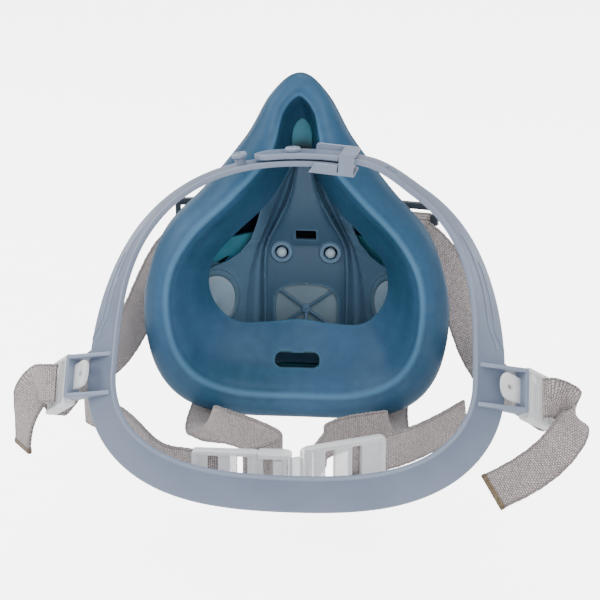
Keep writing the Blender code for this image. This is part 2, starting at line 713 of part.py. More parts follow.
def make_clasp_left(look):
    """The clear clasp with the hook pin: a slotted plate with two lugs that hold a vertical pin."""
    away, across, up = clasp_axes(-1)
    first = 7.4
    middle = CLASP_PIVOT + away * (first + CLASP_LEFT_L) / 2
    half = (CLASP_LEFT_L - first) / 2
    shape = block(middle, (away, across, up), (half, CLASP_T / 2, CLASP_H / 2))
    clasp = make_object("clasp_left", *shape, look)
    pin_half = CLASP_H / 2 - 0.6
    join(clasp, solid_turned([(PIN_R, -pin_half), (PIN_R, pin_half)], CLASP_PIVOT, up, 20), "clasp_pin")
    for end in (-1, 1):
        lug_at = CLASP_PIVOT + away * 3.4 + up * end * (CLASP_H / 2 - 1.1)
        join(clasp, block(lug_at, (away, across, up), (5.6, CLASP_T / 2 + 0.5, 1.1)), f"clasp_lug_{end + 1}")
    for k, at in enumerate((15.0, 26.0)):
        slot = block(CLASP_PIVOT + away * at, (away, across, up), (2.0, 5, CLASP_H / 2 - 2.2))
        cut(clasp, slot, f"clasp_left_slot_{k}")
    return clasp


def make_clasp_right(look):
    """The clear clasp whose open barrel hooks round the other's pin."""
    away, across, up = clasp_axes(1)
    reach = CLASP_H / 2 - 2.9
    hook = circle(BARREL_OUT, 15, start=math.radians(-35), sweep=math.radians(280))
    hook += circle(BARREL_IN, 15, start=math.radians(245), sweep=math.radians(-280))
    clasp = make_object("clasp_right", *prism(hook, CLASP_PIVOT, (away, across, up), -reach, reach), look)
    neck = block(CLASP_PIVOT + away * 5.4, (away, across, up), (2.6, CLASP_T / 2 - 0.3, reach - 0.3))
    join(clasp, neck, "clasp_neck")
    first = 7.6
    middle = CLASP_PIVOT + away * (first + CLASP_RIGHT_L) / 2
    half = (CLASP_RIGHT_L - first) / 2
    join(clasp, block(middle, (away, across, up), (half, CLASP_T / 2, CLASP_H / 2)), "clasp_plate")
    for k, at in enumerate((19.0, 30.0)):
        slot = block(CLASP_PIVOT + away * at, (away, across, up), (2.0, 5, CLASP_H / 2 - 2.2))
        cut(clasp, slot, f"clasp_right_slot_{k}")
    return clasp


def make_chin_strap(name, side, look):
    """Webbing from the yoke's lower loop, flat under the chin, to its rear edge."""
    loop = np.array(LOWER_LOOP)
    path = [(side * loop[0], loop[1] - 5.6, 4.2), (side * 38, -30, 1.5)]
    path += [(side * 38, -50, 1.3), (side * 37.5, -73, 1.6)]
    make_object(name, *ribbon(path, [X, X, X, X], 10), look)


def make_neck_strap(name, side, look):
    """Webbing from the chin's rear edge that stands up, turns back on itself and enters its clasp."""
    away, across, up = clasp_axes(side)
    behind = across if across[1] > 0 else -across
    entry = CLASP_PIVOT + away * (19.0 if side > 0 else 15.0) + behind * 4.0
    if side > 0:
        path = [(40, -76, 2), (40, -83, 6.5), (33, -91, 9.5)]
        path += [(22, -97, 9.5), (15.5, -105, 9.5), (15.5, -113, 9.5)]
    else:
        path = [(-37, -76, 2), (-33, -84, 6.5), (-25, -93, 9.5)]
        path += [(-11, -104, 9.5), (-1.5, -115, 9.5), (-3, -124, 9.5)]
    widths = [X * -side, (-side * 0.7, 0, 0.7), Z, Z, Z, Z, Z]
    make_object(name, *ribbon([*path, entry], widths, 24), look)


def make_neck_tail(name, side, look):
    """The free end that leaves the clasp and runs out under the side of the cradle."""
    away, across, up = clasp_axes(side)
    behind = across if across[1] > 0 else -across
    length = CLASP_RIGHT_L if side > 0 else CLASP_LEFT_L
    path = [CLASP_PIVOT + away * (length - 8) + behind * 2.6]
    path += [CLASP_PIVOT + away * (length + 3) + behind * 3.4]
    if side > 0:
        path += [(50, -103, 11.5), (60, -90, 13), (69, -79, 16)]
    else:
        path += [(-47, -127, 9.5), (-60, -112, 9.5), (-84, -78, 11)]
    make_object(name, *ribbon(path, [Z] * 5, 16), look)


# ---------------------------------------------------------------- assembly


def main():
    clear_scene()
    silicone = make_material("silicone_blue", (0.045, 0.16, 0.30), 0.45)
    shell = make_material("shell_slate", (0.035, 0.09, 0.14), 0.4)
    clear_valve = make_material("valve_silicone", (0.30, 0.38, 0.43), 0.4)
    band = make_material("band_grey", (0.36, 0.41, 0.53), 0.42)
    clear = make_material("clear_plastic", (0.86, 0.88, 0.90), 0.15, alpha=0.45)
    webbing = make_material("webbing_grey", (0.42, 0.38, 0.36), 0.9)
    steel = make_material("stud_steel", (0.72, 0.76, 0.80), 0.25, 1.0)
    gasket = make_material("gasket_black", (0.02, 0.02, 0.022), 0.7)

    make_face_seal(silicone)
    make_center_adapter(shell)
    make_exhalation_flap(clear_valve)
    make_front_cover(shell)
    make_harness_yoke(shell)
    make_head_cradle(band)
    make_crown_tongue(band)
    make_crown_guide(band)
    make_clasp_left(clear)
    make_clasp_right(clear)
    for side, name in ((1, "right"), (-1, "left")):
        make_stud(f"cover_stud_{name}", side, steel)
        make_port(f"bayonet_port_{name}", side, shell)
        make_port_gasket(f"port_gasket_{name}", side, gasket)
        make_inhalation_flap(f"inhalation_flap_{name}", side, clear_valve)
        make_side_buckle(f"side_buckle_{name}", side, clear)
        make_upper_strap(f"upper_strap_{name}", side, webbing)
        make_strap_tail(f"strap_tail_{name}", side, webbing)
        make_chin_strap(f"chin_strap_{name}", side, webbing)
        make_neck_strap(f"neck_strap_{name}", side, webbing)
        make_neck_tail(f"neck_tail_{name}", side, webbing)


main()
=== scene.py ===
"""Looks for the half-mask respirator. Sizes are millimetres; MM turns them into Blender's metres."""

import json
import math

import bmesh
import bpy
import numpy as np
from mathutils import Matrix, Vector


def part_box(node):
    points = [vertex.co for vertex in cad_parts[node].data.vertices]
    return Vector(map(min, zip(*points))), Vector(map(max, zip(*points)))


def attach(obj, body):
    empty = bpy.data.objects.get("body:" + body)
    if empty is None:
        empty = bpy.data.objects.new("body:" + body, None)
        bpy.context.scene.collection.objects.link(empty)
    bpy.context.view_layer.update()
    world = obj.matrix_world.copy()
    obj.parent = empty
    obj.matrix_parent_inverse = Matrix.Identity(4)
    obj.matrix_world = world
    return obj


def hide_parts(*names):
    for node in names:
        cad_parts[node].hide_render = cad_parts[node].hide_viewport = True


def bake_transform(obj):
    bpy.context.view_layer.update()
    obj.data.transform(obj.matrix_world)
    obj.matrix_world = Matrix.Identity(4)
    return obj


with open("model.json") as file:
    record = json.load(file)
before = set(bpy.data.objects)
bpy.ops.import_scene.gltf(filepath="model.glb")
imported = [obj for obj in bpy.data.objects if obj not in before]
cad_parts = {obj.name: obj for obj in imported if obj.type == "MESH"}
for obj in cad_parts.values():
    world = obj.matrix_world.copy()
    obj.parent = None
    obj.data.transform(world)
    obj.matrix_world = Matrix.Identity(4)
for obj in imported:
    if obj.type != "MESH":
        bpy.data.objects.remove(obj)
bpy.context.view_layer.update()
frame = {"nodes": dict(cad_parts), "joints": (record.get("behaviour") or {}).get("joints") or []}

MM = 0.001
X, Y, Z = np.eye(3)
TAU = 2 * math.pi
STRAP_W, STRAP_T = 15.0, 1.3
SIDES = ((1, "right"), (-1, "left"))
UPRIGHT = (X, Z, -Y)  # axes of a plate that faces the wearer


def low(node):
    return np.array(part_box(node)[0]) / MM


def high(node):
    return np.array(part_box(node)[1]) / MM


def joint(name):
    """A joint's position in millimetres and its unit axis."""
    found = next(j for j in frame["joints"] if j["name"] == name)
    return np.array(found.get("pos_m", (0, 0, 0))) / MM, np.array(found["axis"], float)


# ---------------------------------------------------------------- numbers and curves


def unit(v):
    v = np.asarray(v, float)
    return v / np.linalg.norm(v)


def smooth(t):
    t = np.clip(t, 0.0, 1.0)
    return t * t * (3 - 2 * t)


def spline(points, count, closed=False):
    """count points along a Catmull-Rom curve, evenly spaced in its parameter."""
    p = np.asarray(points, float)
    n = len(p)
    spans = n if closed else n - 1
    t = np.arange(count) * spans / count if closed else np.linspace(0, spans, count)
    i = np.minimum(t.astype(int), spans - 1)
    f = (t - i).reshape((-1,) + (1,) * (p.ndim - 1))
    if not closed:
        p = np.concatenate([[2 * p[0] - p[1]], p, [2 * p[-1] - p[-2]]])
        a, b, c, d = (p[i + k] for k in range(4))
    else:
        a, b, c, d = (p[(i + k) % n] for k in (-1, 0, 1, 2))
    return 0.5 * (2 * b + (c - a) * f + (2 * a - 5 * b + 4 * c - d) * f**2 + (3 * b - 3 * c + d - a) * f**3)


def even(points, count, extra):
    """Points at equal distances along a curve, the distances, and the extra values carried along it."""
    fine = spline(points, 60 * len(points))
    run = np.concatenate([[0], np.cumsum(np.linalg.norm(np.diff(fine, axis=0), axis=1))])
    at = np.linspace(0, run[-1], count)
    curve = np.stack([np.interp(at, run, fine[:, k]) for k in range(3)], 1)
    more = spline(extra, 60 * len(points))
    return curve, at, np.stack([np.interp(at, run, more[:, k]) for k in range(more.shape[1])], 1)


def both_sides(half):
    half = [tuple(p) for p in half]
    return half + [(-p[0], *p[1:]) for p in half[-2:0:-1]]


def rounded(width, height, radius, steps=4):
    """A rounded rectangle's outline, anticlockwise from its lower right corner."""
    found = []
    for k, (sx, sy) in enumerate(((1, -1), (1, 1), (-1, 1), (-1, -1))):
        for s in range(steps + 1):
            t = math.radians(-90 + 90 * k + 90 * s / steps)
            x = sx * (width / 2 - radius) + radius * math.cos(t)
            found.append((x, sy * (height / 2 - radius) + radius * math.sin(t)))
    return found


def arc(radius, steps, start=0.0, sweep=TAU):
    share = steps if sweep == TAU else steps - 1
    turns = [start + sweep * k / share for k in range(steps)]
    return [(radius * math.cos(t), radius * math.sin(t)) for t in turns]


# ---------------------------------------------------------------- meshes


def mesh_object(name, points, faces, look, angle=40, uv=None):
    """A smooth-shaded mesh from points in millimetres, its faces turned outward."""
    mesh = bpy.data.meshes.new(name)
    mesh.from_pydata((np.asarray(points, float) * MM).tolist(), [], [tuple(int(i) for i in f) for f in faces])
    if uv is not None:
        layer = mesh.uv_layers.new(name="cloth")
        ids = np.zeros(len(mesh.loops), np.int32)
        mesh.loops.foreach_get("vertex_index", ids)
        layer.data.foreach_set("uv", np.asarray(uv, np.float32)[ids].ravel())
    work = bmesh.new()
    work.from_mesh(mesh)
    bmesh.ops.recalc_face_normals(work, faces=work.faces)
    work.to_mesh(mesh)
    work.free()
    return finish_mesh(name, mesh, look, angle)


def finish_mesh(name, mesh, look, angle=40):
    mesh.materials.clear()
    mesh.materials.append(look)
    shade(mesh, angle)
    return in_scene(name, mesh)


def shade(mesh, angle):
    """Shades a mesh smooth, with its edges sharp where faces meet at more than the angle in degrees."""
    mesh.shade_smooth()
    mesh.set_sharp_from_angle(angle=math.radians(angle))


def in_scene(name, data):
    obj = bpy.data.objects.new(name, data)
    bpy.context.scene.collection.objects.link(obj)
    return obj


def carry(obj, body, slot, *nodes):
    """Makes a piece ride a body, and dresses it."""
    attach(obj, body)
    dress(obj, slot, *nodes)


def dress(obj, slot, *nodes):
    """Hides the CAD nodes whose place a piece takes; the piece and slot arguments are not used."""
    if nodes:
        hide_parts(*nodes)


def skin(rings, close=False):
    """Points and faces of a skin over rings of equal length."""
    rings = np.asarray(rings, float)
    m, n = rings.shape[:2]
    j = np.arange(n)
    faces = []
    for i in range(m if close else m - 1):
        a, b = i * n, (i + 1) % m * n
        faces += np.stack([a + j, a + (j + 1) % n, b + (j + 1) % n, b + j], 1).tolist()
    if not close:
        faces.append(list(range(n))[::-1])
        faces.append([(m - 1) * n + k for k in range(n)])
    return rings.reshape(-1, 3), faces


def lathe(name, profile, origin, axis, look, steps=48, close=False):
    """A turned piece from (radius, distance along the axis) points."""
    axis = unit(axis)
    side = unit(np.cross(axis, X if abs(axis[0]) < 0.9 else Z))
    other = np.cross(axis, side)
    t = np.arange(steps) * TAU / steps
    spin = np.cos(t)[:, None] * side + np.sin(t)[:, None] * other
    rings = [np.asarray(origin) + axis * h + r * spin for r, h in profile]
    return mesh_object(name, *skin(rings, close=close), look)


def evaluated(obj):
    """Replaces an object's mesh by what its modifiers make, and drops them."""
    graph = bpy.context.evaluated_depsgraph_get()
    made = bpy.data.meshes.new_from_object(obj.evaluated_get(graph))
    obj.modifiers.clear()
    obj.data = made


def plate(name, outline, thick, origin, axes, look, holes=(), bevel=0.3):
    """A flat plate with rounded edges, its outline and holes in the first two axes, centred on the third."""
    curve = bpy.data.curves.new(name, "CURVE")
    curve.dimensions = "2D"
    curve.fill_mode = "BOTH"
    for loop in (outline, *holes):
        line = curve.splines.new("POLY")
        line.points.add(len(loop) - 1)
        for point, (u, v) in zip(line.points, loop):
            point.co = (u * MM, v * MM, 0, 1)
        line.use_cyclic_u = True
    curve.extrude = (thick / 2 - bevel) * MM
    curve.bevel_depth = bevel * MM
    curve.bevel_resolution = 2
    curve.offset = -bevel * MM
    source = in_scene(name + "_curve", curve)
    graph = bpy.context.evaluated_depsgraph_get()
    mesh = bpy.data.meshes.new_from_object(source.evaluated_get(graph))
    bpy.data.objects.remove(source)
    a, b, c = (np.asarray(v, float) for v in axes)
    place = Matrix((*np.column_stack([a, b, c, np.asarray(origin) * MM]).tolist(), (0, 0, 0, 1)))
    mesh.transform(place)
    work = bmesh.new()
    work.from_mesh(mesh)
    bmesh.ops.remove_doubles(work, verts=work.verts, dist=1e-6)
    bmesh.ops.recalc_face_normals(work, faces=work.faces)
    work.to_mesh(mesh)
    work.free()
    return finish_mesh(name, mesh, look, 50)


def box_outline(u0, u1, v0, v1, radius=0.6):
    shape = rounded(u1 - u0, v1 - v0, radius)
    return [(u + (u0 + u1) / 2, v + (v0 + v1) / 2) for u, v in shape]


def bar(name, start, end, up, width, height, look, bevel=0.3):
    """A straight bar between two points, width across and height along up."""
    start, end = np.asarray(start, float), np.asarray(end, float)
    along = unit(end - start)
    up = unit(up - along * np.dot(up, along))
    side = np.cross(along, up)
    length = np.linalg.norm(end - start)
    outline = rounded(length, width, min(width, length) * 0.25, 3)
    return plate(name, outline, height, (start + end) / 2, (along, side, up), look, bevel=bevel)


def subtract(obj, *cutters):
    """Cuts other objects out of obj and removes them."""
    for k, tool in enumerate(cutters):
        step = obj.modifiers.new(f"cut_{k}", "BOOLEAN")
        step.object = tool
        step.operation = "DIFFERENCE"
        step.solver = "EXACT"
    evaluated(obj)
    for tool in cutters:
        bpy.data.objects.remove(tool)


def cutter(obj, outline, depth, centre, axes=UPRIGHT, bevel=0.05):
    """A prism to subtract from obj, in obj's own material."""
    return plate("cutter", outline, depth, centre, axes, obj.data.materials[0], bevel=bevel)


def fuse(name, parts):
    """One object from several meshes that sit together."""
    work = bmesh.new()
    for part in parts:
        work.from_mesh(part.data)
    look = parts[0].data.materials[0]
    for part in parts:
        bpy.data.objects.remove(part)
    mesh = bpy.data.meshes.new(name)
    work.to_mesh(mesh)
    work.free()
    return finish_mesh(name, mesh, look)


# ---------------------------------------------------------------- materials


class Look:
    """A node material being built: Principled BSDF plus helpers that add the nodes feeding it."""

    def __init__(self, name, colour, rough, **inputs):
        self.made = bpy.data.materials.new(name)
        self.made.use_nodes = True
        self.made.diffuse_color = (*colour, 1)
        self.tree = self.made.node_tree
        self.shader = self.tree.nodes["Principled BSDF"]
        self.set("Base Color", (*colour, 1))
        self.set("Roughness", rough)
        for key, value in inputs.items():
            self.set(key.replace("_", " "), value)
        self.space = self.node("ShaderNodeTexCoord").outputs["Object"]

    def node(self, kind, **values):
        made = self.tree.nodes.new(kind)
        for key, value in values.items():
            if key in made.inputs:
                made.inputs[key].default_value = value
            else:
                setattr(made, key, value)
        return made

    def set(self, key, value):
        self.shader.inputs[key].default_value = value

    def link(self, source, target):
        self.tree.links.new(source, target)

    def feed(self, key, source):
        self.link(source, self.shader.inputs[key])

    def noise(self, scale, detail=3.0, rough=0.5, space=None):
        made = self.node("ShaderNodeTexNoise", Scale=scale, Detail=detail, Roughness=rough)
        self.link(space or self.space, made.inputs["Vector"])
        return made.outputs["Fac"]

    def ramp(self, source, stops):
        made = self.node("ShaderNodeValToRGB")
        points = made.color_ramp.elements
        while len(points) < len(stops):
            points.new(0.5)
        for point, (at, colour) in zip(points, stops):
            point.position = at
            point.color = (*colour, 1)
        self.link(source, made.inputs["Fac"])
        return made.outputs["Color"]

    def maths(self, kind, a, b=None):
        made = self.node("ShaderNodeMath", operation=kind)
        for slot, value in enumerate((a, b)):
            if value is None:
                continue
            if isinstance(value, (int, float)):
                made.inputs[slot].default_value = value
            else:
                self.link(value, made.inputs[slot])
        return made.outputs[0]

    def mix(self, share, a, b):
        made = self.node("ShaderNodeMix", data_type="RGBA")
        for slot, value in ((0, share), (6, a), (7, b)):
            if isinstance(value, (int, float)):
                made.inputs[slot].default_value = value
            elif isinstance(value, tuple):
                made.inputs[slot].default_value = (*value, 1)
            else:
                self.link(value, made.inputs[slot])
        return made.outputs[2]

    def spread(self, source, lowest, highest):
        made = self.node("ShaderNodeMapRange", **{"To Min": lowest, "To Max": highest})
        self.link(source, made.inputs["Value"])
        return made.outputs["Result"]

    def bump(self, source, distance, strength):
        made = self.node("ShaderNodeBump", Distance=distance, Strength=strength)
        self.link(source, made.inputs["Height"])
        before = self.shader.inputs["Normal"]
        if before.is_linked:
            self.link(before.links[0].from_socket, made.inputs["Normal"])
        self.link(made.outputs["Normal"], before)

    def edges(self):
        """Pointiness: above a half along raised edges, below it in creases."""
        return self.node("ShaderNodeNewGeometry").outputs["Pointiness"]

    def facing(self, blend):
        return self.node("ShaderNodeLayerWeight", Blend=blend).outputs["Facing"]


def silicone_look(name, deep, main, light, rough, painted_marks=False):
    look = Look(name, main, rough, Subsurface_Weight=0.12, Subsurface_Scale=0.003, Specular_IOR_Level=0.2)
    look.set("Subsurface Radius", (0.25, 0.7, 1.0))
    broad = look.ramp(look.noise(26, 3), [(0.36, deep), (0.64, main)])
    fine = look.mix(look.spread(look.noise(260, 4), 0, 0.16), broad, light)
    # painted highlight: lighter along raised edges, with no lift in creases
    rim = look.mix(look.spread(look.edges(), -2.0, 2.1), fine, light)
    shaded = painted_light_colours(look, rim, deep, light) if painted_marks else rim
    look.feed("Base Color", shaded)
    look.feed("Roughness", look.spread(look.noise(90, 4), rough - 0.07, rough + 0.09))
    look.bump(look.noise(5200, 2), 0.00003, 0.5)
    look.bump(look.noise(55, 2), 0.0003, 0.25)
    return look.made


def painted_light_colours(look, base, deep, light):
    """The seal's painted light and shade: a pale painted highlight on the crest line, painted shade on the
    rolled edge and where the surface is seen edge-on, a teal painted glow of light through the thin inner
    wall, and painted shade at that wall's end.
    """
    painted_light = look.node("ShaderNodeAttribute", attribute_name="painted_light")
    parts = look.node("ShaderNodeSeparateColor")
    look.link(painted_light.outputs["Color"], parts.inputs["Color"])
    # painted shade: darker where the surface is seen edge-on
    turned = look.mix(look.spread(look.facing(0.4), 0.0, 0.8), base, tuple(c * 0.5 for c in deep))
    # painted shade over the rolled edge
    roll_shaded = look.mix(look.maths("MULTIPLY", parts.outputs["Green"], 0.75), turned, deep)
    # painted highlight along the crest line
    crest_highlighted = look.mix(look.maths("MULTIPLY", parts.outputs["Red"], 0.32), roll_shaded, light)
    # teal painted glow of light through the thin inner wall
    thin = look.mix(look.maths("MULTIPLY", parts.outputs["Blue"], 0.75), crest_highlighted, (0.1, 0.4, 0.52))
    # painted shade at the inner wall's end
    return look.mix(painted_light.outputs["Alpha"], thin, tuple(c * 0.12 for c in deep))


def plastic_look(name, main, light, rough, edge=5.0, wings=False):
    look = Look(name, main, rough, Specular_IOR_Level=0.45)
    broad = look.mix(look.spread(look.noise(40, 4), 0.0, 0.35), main, light)
    dust_and_wing_light = look.mix(look.spread(look.noise(900, 3), 0.0, 0.06), broad, light)
    # painted light: the wings' inner faces get lighter further out from the middle
    if wings:
        dust_and_wing_light = look.mix(painted_wing_light(look), dust_and_wing_light, light)
    # painted highlight along raised edges, with no lift in creases; edge sets its strength
    rim = look.mix(look.spread(look.edges(), 0.12 - edge / 2, 0.12 + edge / 2), dust_and_wing_light, light)
    look.feed("Base Color", rim)
    look.feed("Roughness", look.spread(look.noise(130, 5), rough - 0.08, rough + 0.1))
    look.bump(look.noise(4200, 2), 0.00004, 0.45)
    look.bump(look.noise(70, 2), 0.0002, 0.18)
    return look.made


def painted_wing_light(look):
    """How far out on the wings a point is, on faces turned to the wearer, where the shell gets painted light.
    """
    geometry = look.node("ShaderNodeNewGeometry")
    place = look.node("ShaderNodeSeparateXYZ")
    look.link(geometry.outputs["Position"], place.inputs["Vector"])
    turned = look.node("ShaderNodeSeparateXYZ")
    look.link(geometry.outputs["Normal"], turned.inputs["Vector"])
    out = look.maths("SUBTRACT", look.maths("ABSOLUTE", place.outputs["X"]), 0.015)
    share = look.maths("MINIMUM", look.maths("MAXIMUM", look.maths("MULTIPLY", out, 90.0), 0.0), 0.6)
    return look.maths("MULTIPLY", share, look.maths("LESS_THAN", turned.outputs["Y"], -0.25))


def clear_look(name):
    look = Look(name, (0.86, 0.89, 0.92), 0.24, Specular_IOR_Level=0.55)
    look.set("Coat Weight", 0.5)
    look.set("Coat Roughness", 0.12)
    milky = look.ramp(look.noise(45, 3), [(0.35, (0.86, 0.885, 0.91)), (0.7, (0.96, 0.965, 0.97))])
    look.feed("Base Color", milky)
    look.feed("Roughness", look.spread(look.noise(150, 3), 0.2, 0.36))
    look.feed("Alpha", look.spread(look.facing(0.5), 0.62, 0.97))
    look.bump(look.noise(300, 2), 0.00003, 0.25)
    return look.made


def webbing_look(name, thread, dark, fleck):
    """Knitted elastic: ribs along the strap, broken into small stitches, from the strap's own millimetres."""
    look = Look(name, thread, 0.88, Specular_IOR_Level=0.2)
    look.set("Sheen Weight", 0.35)
    look.set("Sheen Roughness", 0.6)
    cloth = look.node("ShaderNodeUVMap", uv_map="cloth").outputs["UV"]
    stitches = {"Brick Width": 1.15, "Row Height": 0.8, "Mortar Size": 0.17, "Mortar Smooth": 0.9}
    colours = {"Color1": (*thread, 1), "Color2": (*[c * 0.6 for c in thread], 1), "Mortar": (*dark, 1)}
    brick = look.node("ShaderNodeTexBrick", Scale=1.0, Bias=-0.1, offset=0.5, offset_frequency=2)
    for key, value in (stitches | colours).items():
        brick.inputs[key].default_value = value
    look.link(cloth, brick.inputs["Vector"])
    speck = look.ramp(look.noise(1.7, 3, 0.7, cloth), [(0.5, (0, 0, 0)), (0.62, (1, 1, 1))])
    tint = look.mix(look.maths("MULTIPLY", speck, 0.55), brick.outputs["Color"], fleck)
    broad = look.mix(look.spread(look.noise(60, 2), 0, 0.25), tint, dark)
    across = look.node("ShaderNodeSeparateXYZ")
    look.link(cloth, across.inputs["Vector"])
    from_middle = look.maths("ABSOLUTE", look.maths("SUBTRACT", across.outputs["X"], STRAP_W / 2))
    selvedge = look.maths("GREATER_THAN", from_middle, STRAP_W / 2 - 1.1)
    edged = look.mix(look.maths("MULTIPLY", selvedge, 0.4), broad, dark)
    look.feed("Base Color", edged)
    rib = look.node("ShaderNodeTexWave", Scale=0.53, Distortion=0.4, bands_direction="X")
    look.link(cloth, rib.inputs["Vector"])
    height = look.maths("SUBTRACT", look.maths("MULTIPLY", rib.outputs["Fac"], 0.5), brick.outputs["Fac"])
    look.bump(height, 0.00028, 0.9)
    look.bump(look.noise(3000, 2), 0.00008, 0.6)
    return look.made


SILICONE = silicone_look(
    "silicone_blue", (0.012, 0.062, 0.125), (0.036, 0.102, 0.205), (0.15, 0.36, 0.58), 0.38, painted_marks=True
)
SHELL = plastic_look("shell_slate", (0.026, 0.077, 0.14), (0.19, 0.33, 0.48), 0.3, edge=12.0, wings=True)
VALVE = silicone_look("valve_silicone", (0.2, 0.3, 0.37), (0.27, 0.39, 0.47), (0.42, 0.54, 0.62), 0.5)
FLAP = silicone_look("flap_silicone", (0.34, 0.48, 0.6), (0.42, 0.58, 0.7), (0.7, 0.8, 0.88), 0.4)
BAND = plastic_look("band_grey", (0.1, 0.133, 0.21), (0.38, 0.44, 0.56), 0.32)
CLEAR = clear_look("clear_plastic")
WEBBING = webbing_look("webbing_grey", (0.74, 0.64, 0.635), (0.075, 0.058, 0.056), (0.9, 0.83, 0.82))
STITCH = webbing_look("end_stitch", (0.30, 0.21, 0.11), (0.04, 0.025, 0.012), (0.5, 0.38, 0.2))
STEEL = plastic_look("stud_cap", (0.42, 0.60, 0.76), (0.85, 0.93, 1.0), 0.2)
PORT = plastic_look("port_slate", (0.05, 0.12, 0.19), (0.3, 0.48, 0.64), 0.3, edge=2.0)
COVER = plastic_look("cover_slate", (0.03, 0.045, 0.062), (0.09, 0.115, 0.14), 0.42)
YOKE = plastic_look("yoke_dark", (0.018, 0.024, 0.034), (0.07, 0.085, 0.105), 0.44)
GASKET = plastic_look("gasket_black", (0.012, 0.012, 0.014), (0.05, 0.05, 0.055), 0.6)


# ---------------------------------------------------------------- face seal

# One row for each station from the chin up the right cheek to the nose. Along a row: the lip round the face
# opening, the sealing flange, the crest, the rolled edge, and the wall forward to the adapter.
SEAL_STATIONS = np.array((
    ((0, -50, 40), (0, -58, 24), (0, -64, 12.5), (0, -58, 3.2),
     (0, -42, 3.6), (0, -26, 5), (0, -15, 7.5)),
    ((14, -50, 38.5), (19, -59, 24), (24, -66, 14), (28, -60, 4.6),
     (27, -44, 4.8), (24, -30, 6), (20, -17, 8.5)),
    ((26, -51, 39), (35, -61, 29), (40, -70, 21), (45, -64, 11.5),
     (43.5, -48, 11), (40, -35, 11), (36, -25, 13)),
    ((34, -53, 46), (42, -64, 39), (49, -72, 34), (55, -66, 25),
     (54, -52, 23), (50, -42, 22), (46, -34, 21.5)),
    ((37.5, -54, 56), (45, -65, 54), (52, -73, 52), (59, -67, 46),
     (58, -56, 44), (55, -47, 41), (51.5, -41, 38)),
    ((35.5, -53, 67), (43, -64, 68), (49.5, -71, 68), (57, -65, 64),
     (56.5, -55, 60), (54, -47, 57), (50, -41, 54)),
    ((27, -50, 77), (35, -61, 80), (41, -68, 82), (49.5, -62, 82),
     (49, -52, 78), (46, -44, 73), (42, -37, 68)),
    ((15, -44, 88), (20.5, -55, 93), (26, -62, 96), (33.5, -56, 98),
     (35.5, -48, 94), (34, -40, 88), (29, -33, 82)),
    ((6.0, -38, 102), (9.6, -48, 107.5), (13, -56, 111.5), (18.2, -51, 117),
     (20.5, -44, 112), (20.5, -37, 103), (17, -31, 95)),
    ((4.8, -35, 117), (6.6, -42.5, 122.5), (8.0, -50, 128.5), (9.8, -47, 132.5),
     (11, -40, 126), (11, -34, 115), (8, -30, 103)),
    ((0, -34, 122.5), (0, -40.5, 129.5), (0, -47.5, 135.5), (0, -45, 140),
     (0, -37, 136), (0, -31, 123), (0, -29.5, 106)),
), float)
# The wall then runs forward past the adapter's rim and turns in beyond it, at the same stations.
SEAL_FRONT = np.array((
    ((0, -10, 8.5), (0, -9.4, 11)), ((19.5, -11, 9.5), (19, -10.4, 12)), ((34, -20, 14), (33, -19, 16)),
    ((44, -31, 22), (43, -30.4, 23)), ((49.5, -38.5, 38), (48.5, -37.8, 38.5)),
    ((47, -33, 56), (31, -20, 59.3)), ((37, -24, 68), (20, -13.2, 61)),
    ((25.5, -23, 80), (13, -14.6, 73)), ((14.5, -24, 93), (8, -19.5, 88)),
    ((7, -25.5, 103), (3.2, -22.5, 98)), ((0, -26.5, 107), (0, -24, 102)),
))
SEAL_WALL = (1.2, 1.5, 2.1, 2.3, 2.4, 2.4, 2.2, 1.8, 1.3)
# The crest: a narrow raised line where the flange turns over into the rolled edge.
CREST_AT, CREST_WIDE, CREST_HIGH = 1.95, 0.11, 0.8
SEAL_AROUND = 240  # points round the opening
SEAL_FINE = 24  # steps between two columns of the tables
NOSE_GAP = 5.45  # the column beyond which the inner wall gets painted shade, up in the nose
CHIN_SLOT = (0, -62, 26.0)
# The centre panel's inner face is upright up to its brow and leans towards the wearer above it.
PANEL_Y = low("exhalation_flap")[1] + 2.2
PANEL_T, WINDOW_Z = 2.2, 67
BROW_Z, BROW_SLOPE = 62.0, 0.34


def panel_y(z):
    return PANEL_Y - BROW_SLOPE * np.maximum(0.0, z - BROW_Z)


def make_face_seal():
    net = np.concatenate([SEAL_STATIONS, SEAL_FRONT], axis=1)
    loops = np.array([spline(both_sides(net[:, k]), SEAL_AROUND, closed=True) for k in range(net.shape[1])])
    columns = seal_columns(len(loops) - 1)
    fine = [spline(loops[:, j], SEAL_FINE * (len(loops) - 1) + 1) for j in range(SEAL_AROUND)]
    rows = np.arange(len(fine[0])) / SEAL_FINE
    sheet = np.array([[np.interp(columns, rows, row[:, k]) for k in range(3)] for row in fine])
    sheet = sheet.transpose(2, 0, 1)
    along = np.gradient(sheet, axis=0)
    around = (np.roll(sheet, -1, axis=1) - np.roll(sheet, 1, axis=1)) / 2
    normal = np.cross(around, along)
    normal /= np.linalg.norm(normal, axis=2, keepdims=True)
    wall = np.interp(columns, range(len(SEAL_WALL)), SEAL_WALL)
    crest = CREST_HIGH * np.exp(-(((columns - CREST_AT) / CREST_WIDE) ** 2))
    lower = 0.35 + 0.65 * smooth((130 - sheet[:, :, 2]) / 40)
    outer = sheet - normal * (wall[:, None] + crest[:, None] * lower)[:, :, None]
    rings = [*outer, *rounded_edge(outer[-1], outer[-2], sheet[-1]), *sheet[::-1]]
    rings += rounded_edge(sheet[0], sheet[1], outer[0])
    seal = mesh_object("seal_body", *skin(rings, close=True), SILICONE, 180)
    painted_light_attribute(seal, rings, columns)
    subtract(seal, cutter(seal, rounded(18.2, 5.2, 2.4, 8), 40, CHIN_SLOT, bevel=0.1))
    shade(seal.data, 60)
    carry(seal, "facepiece", "silicone_blue", "face_seal")


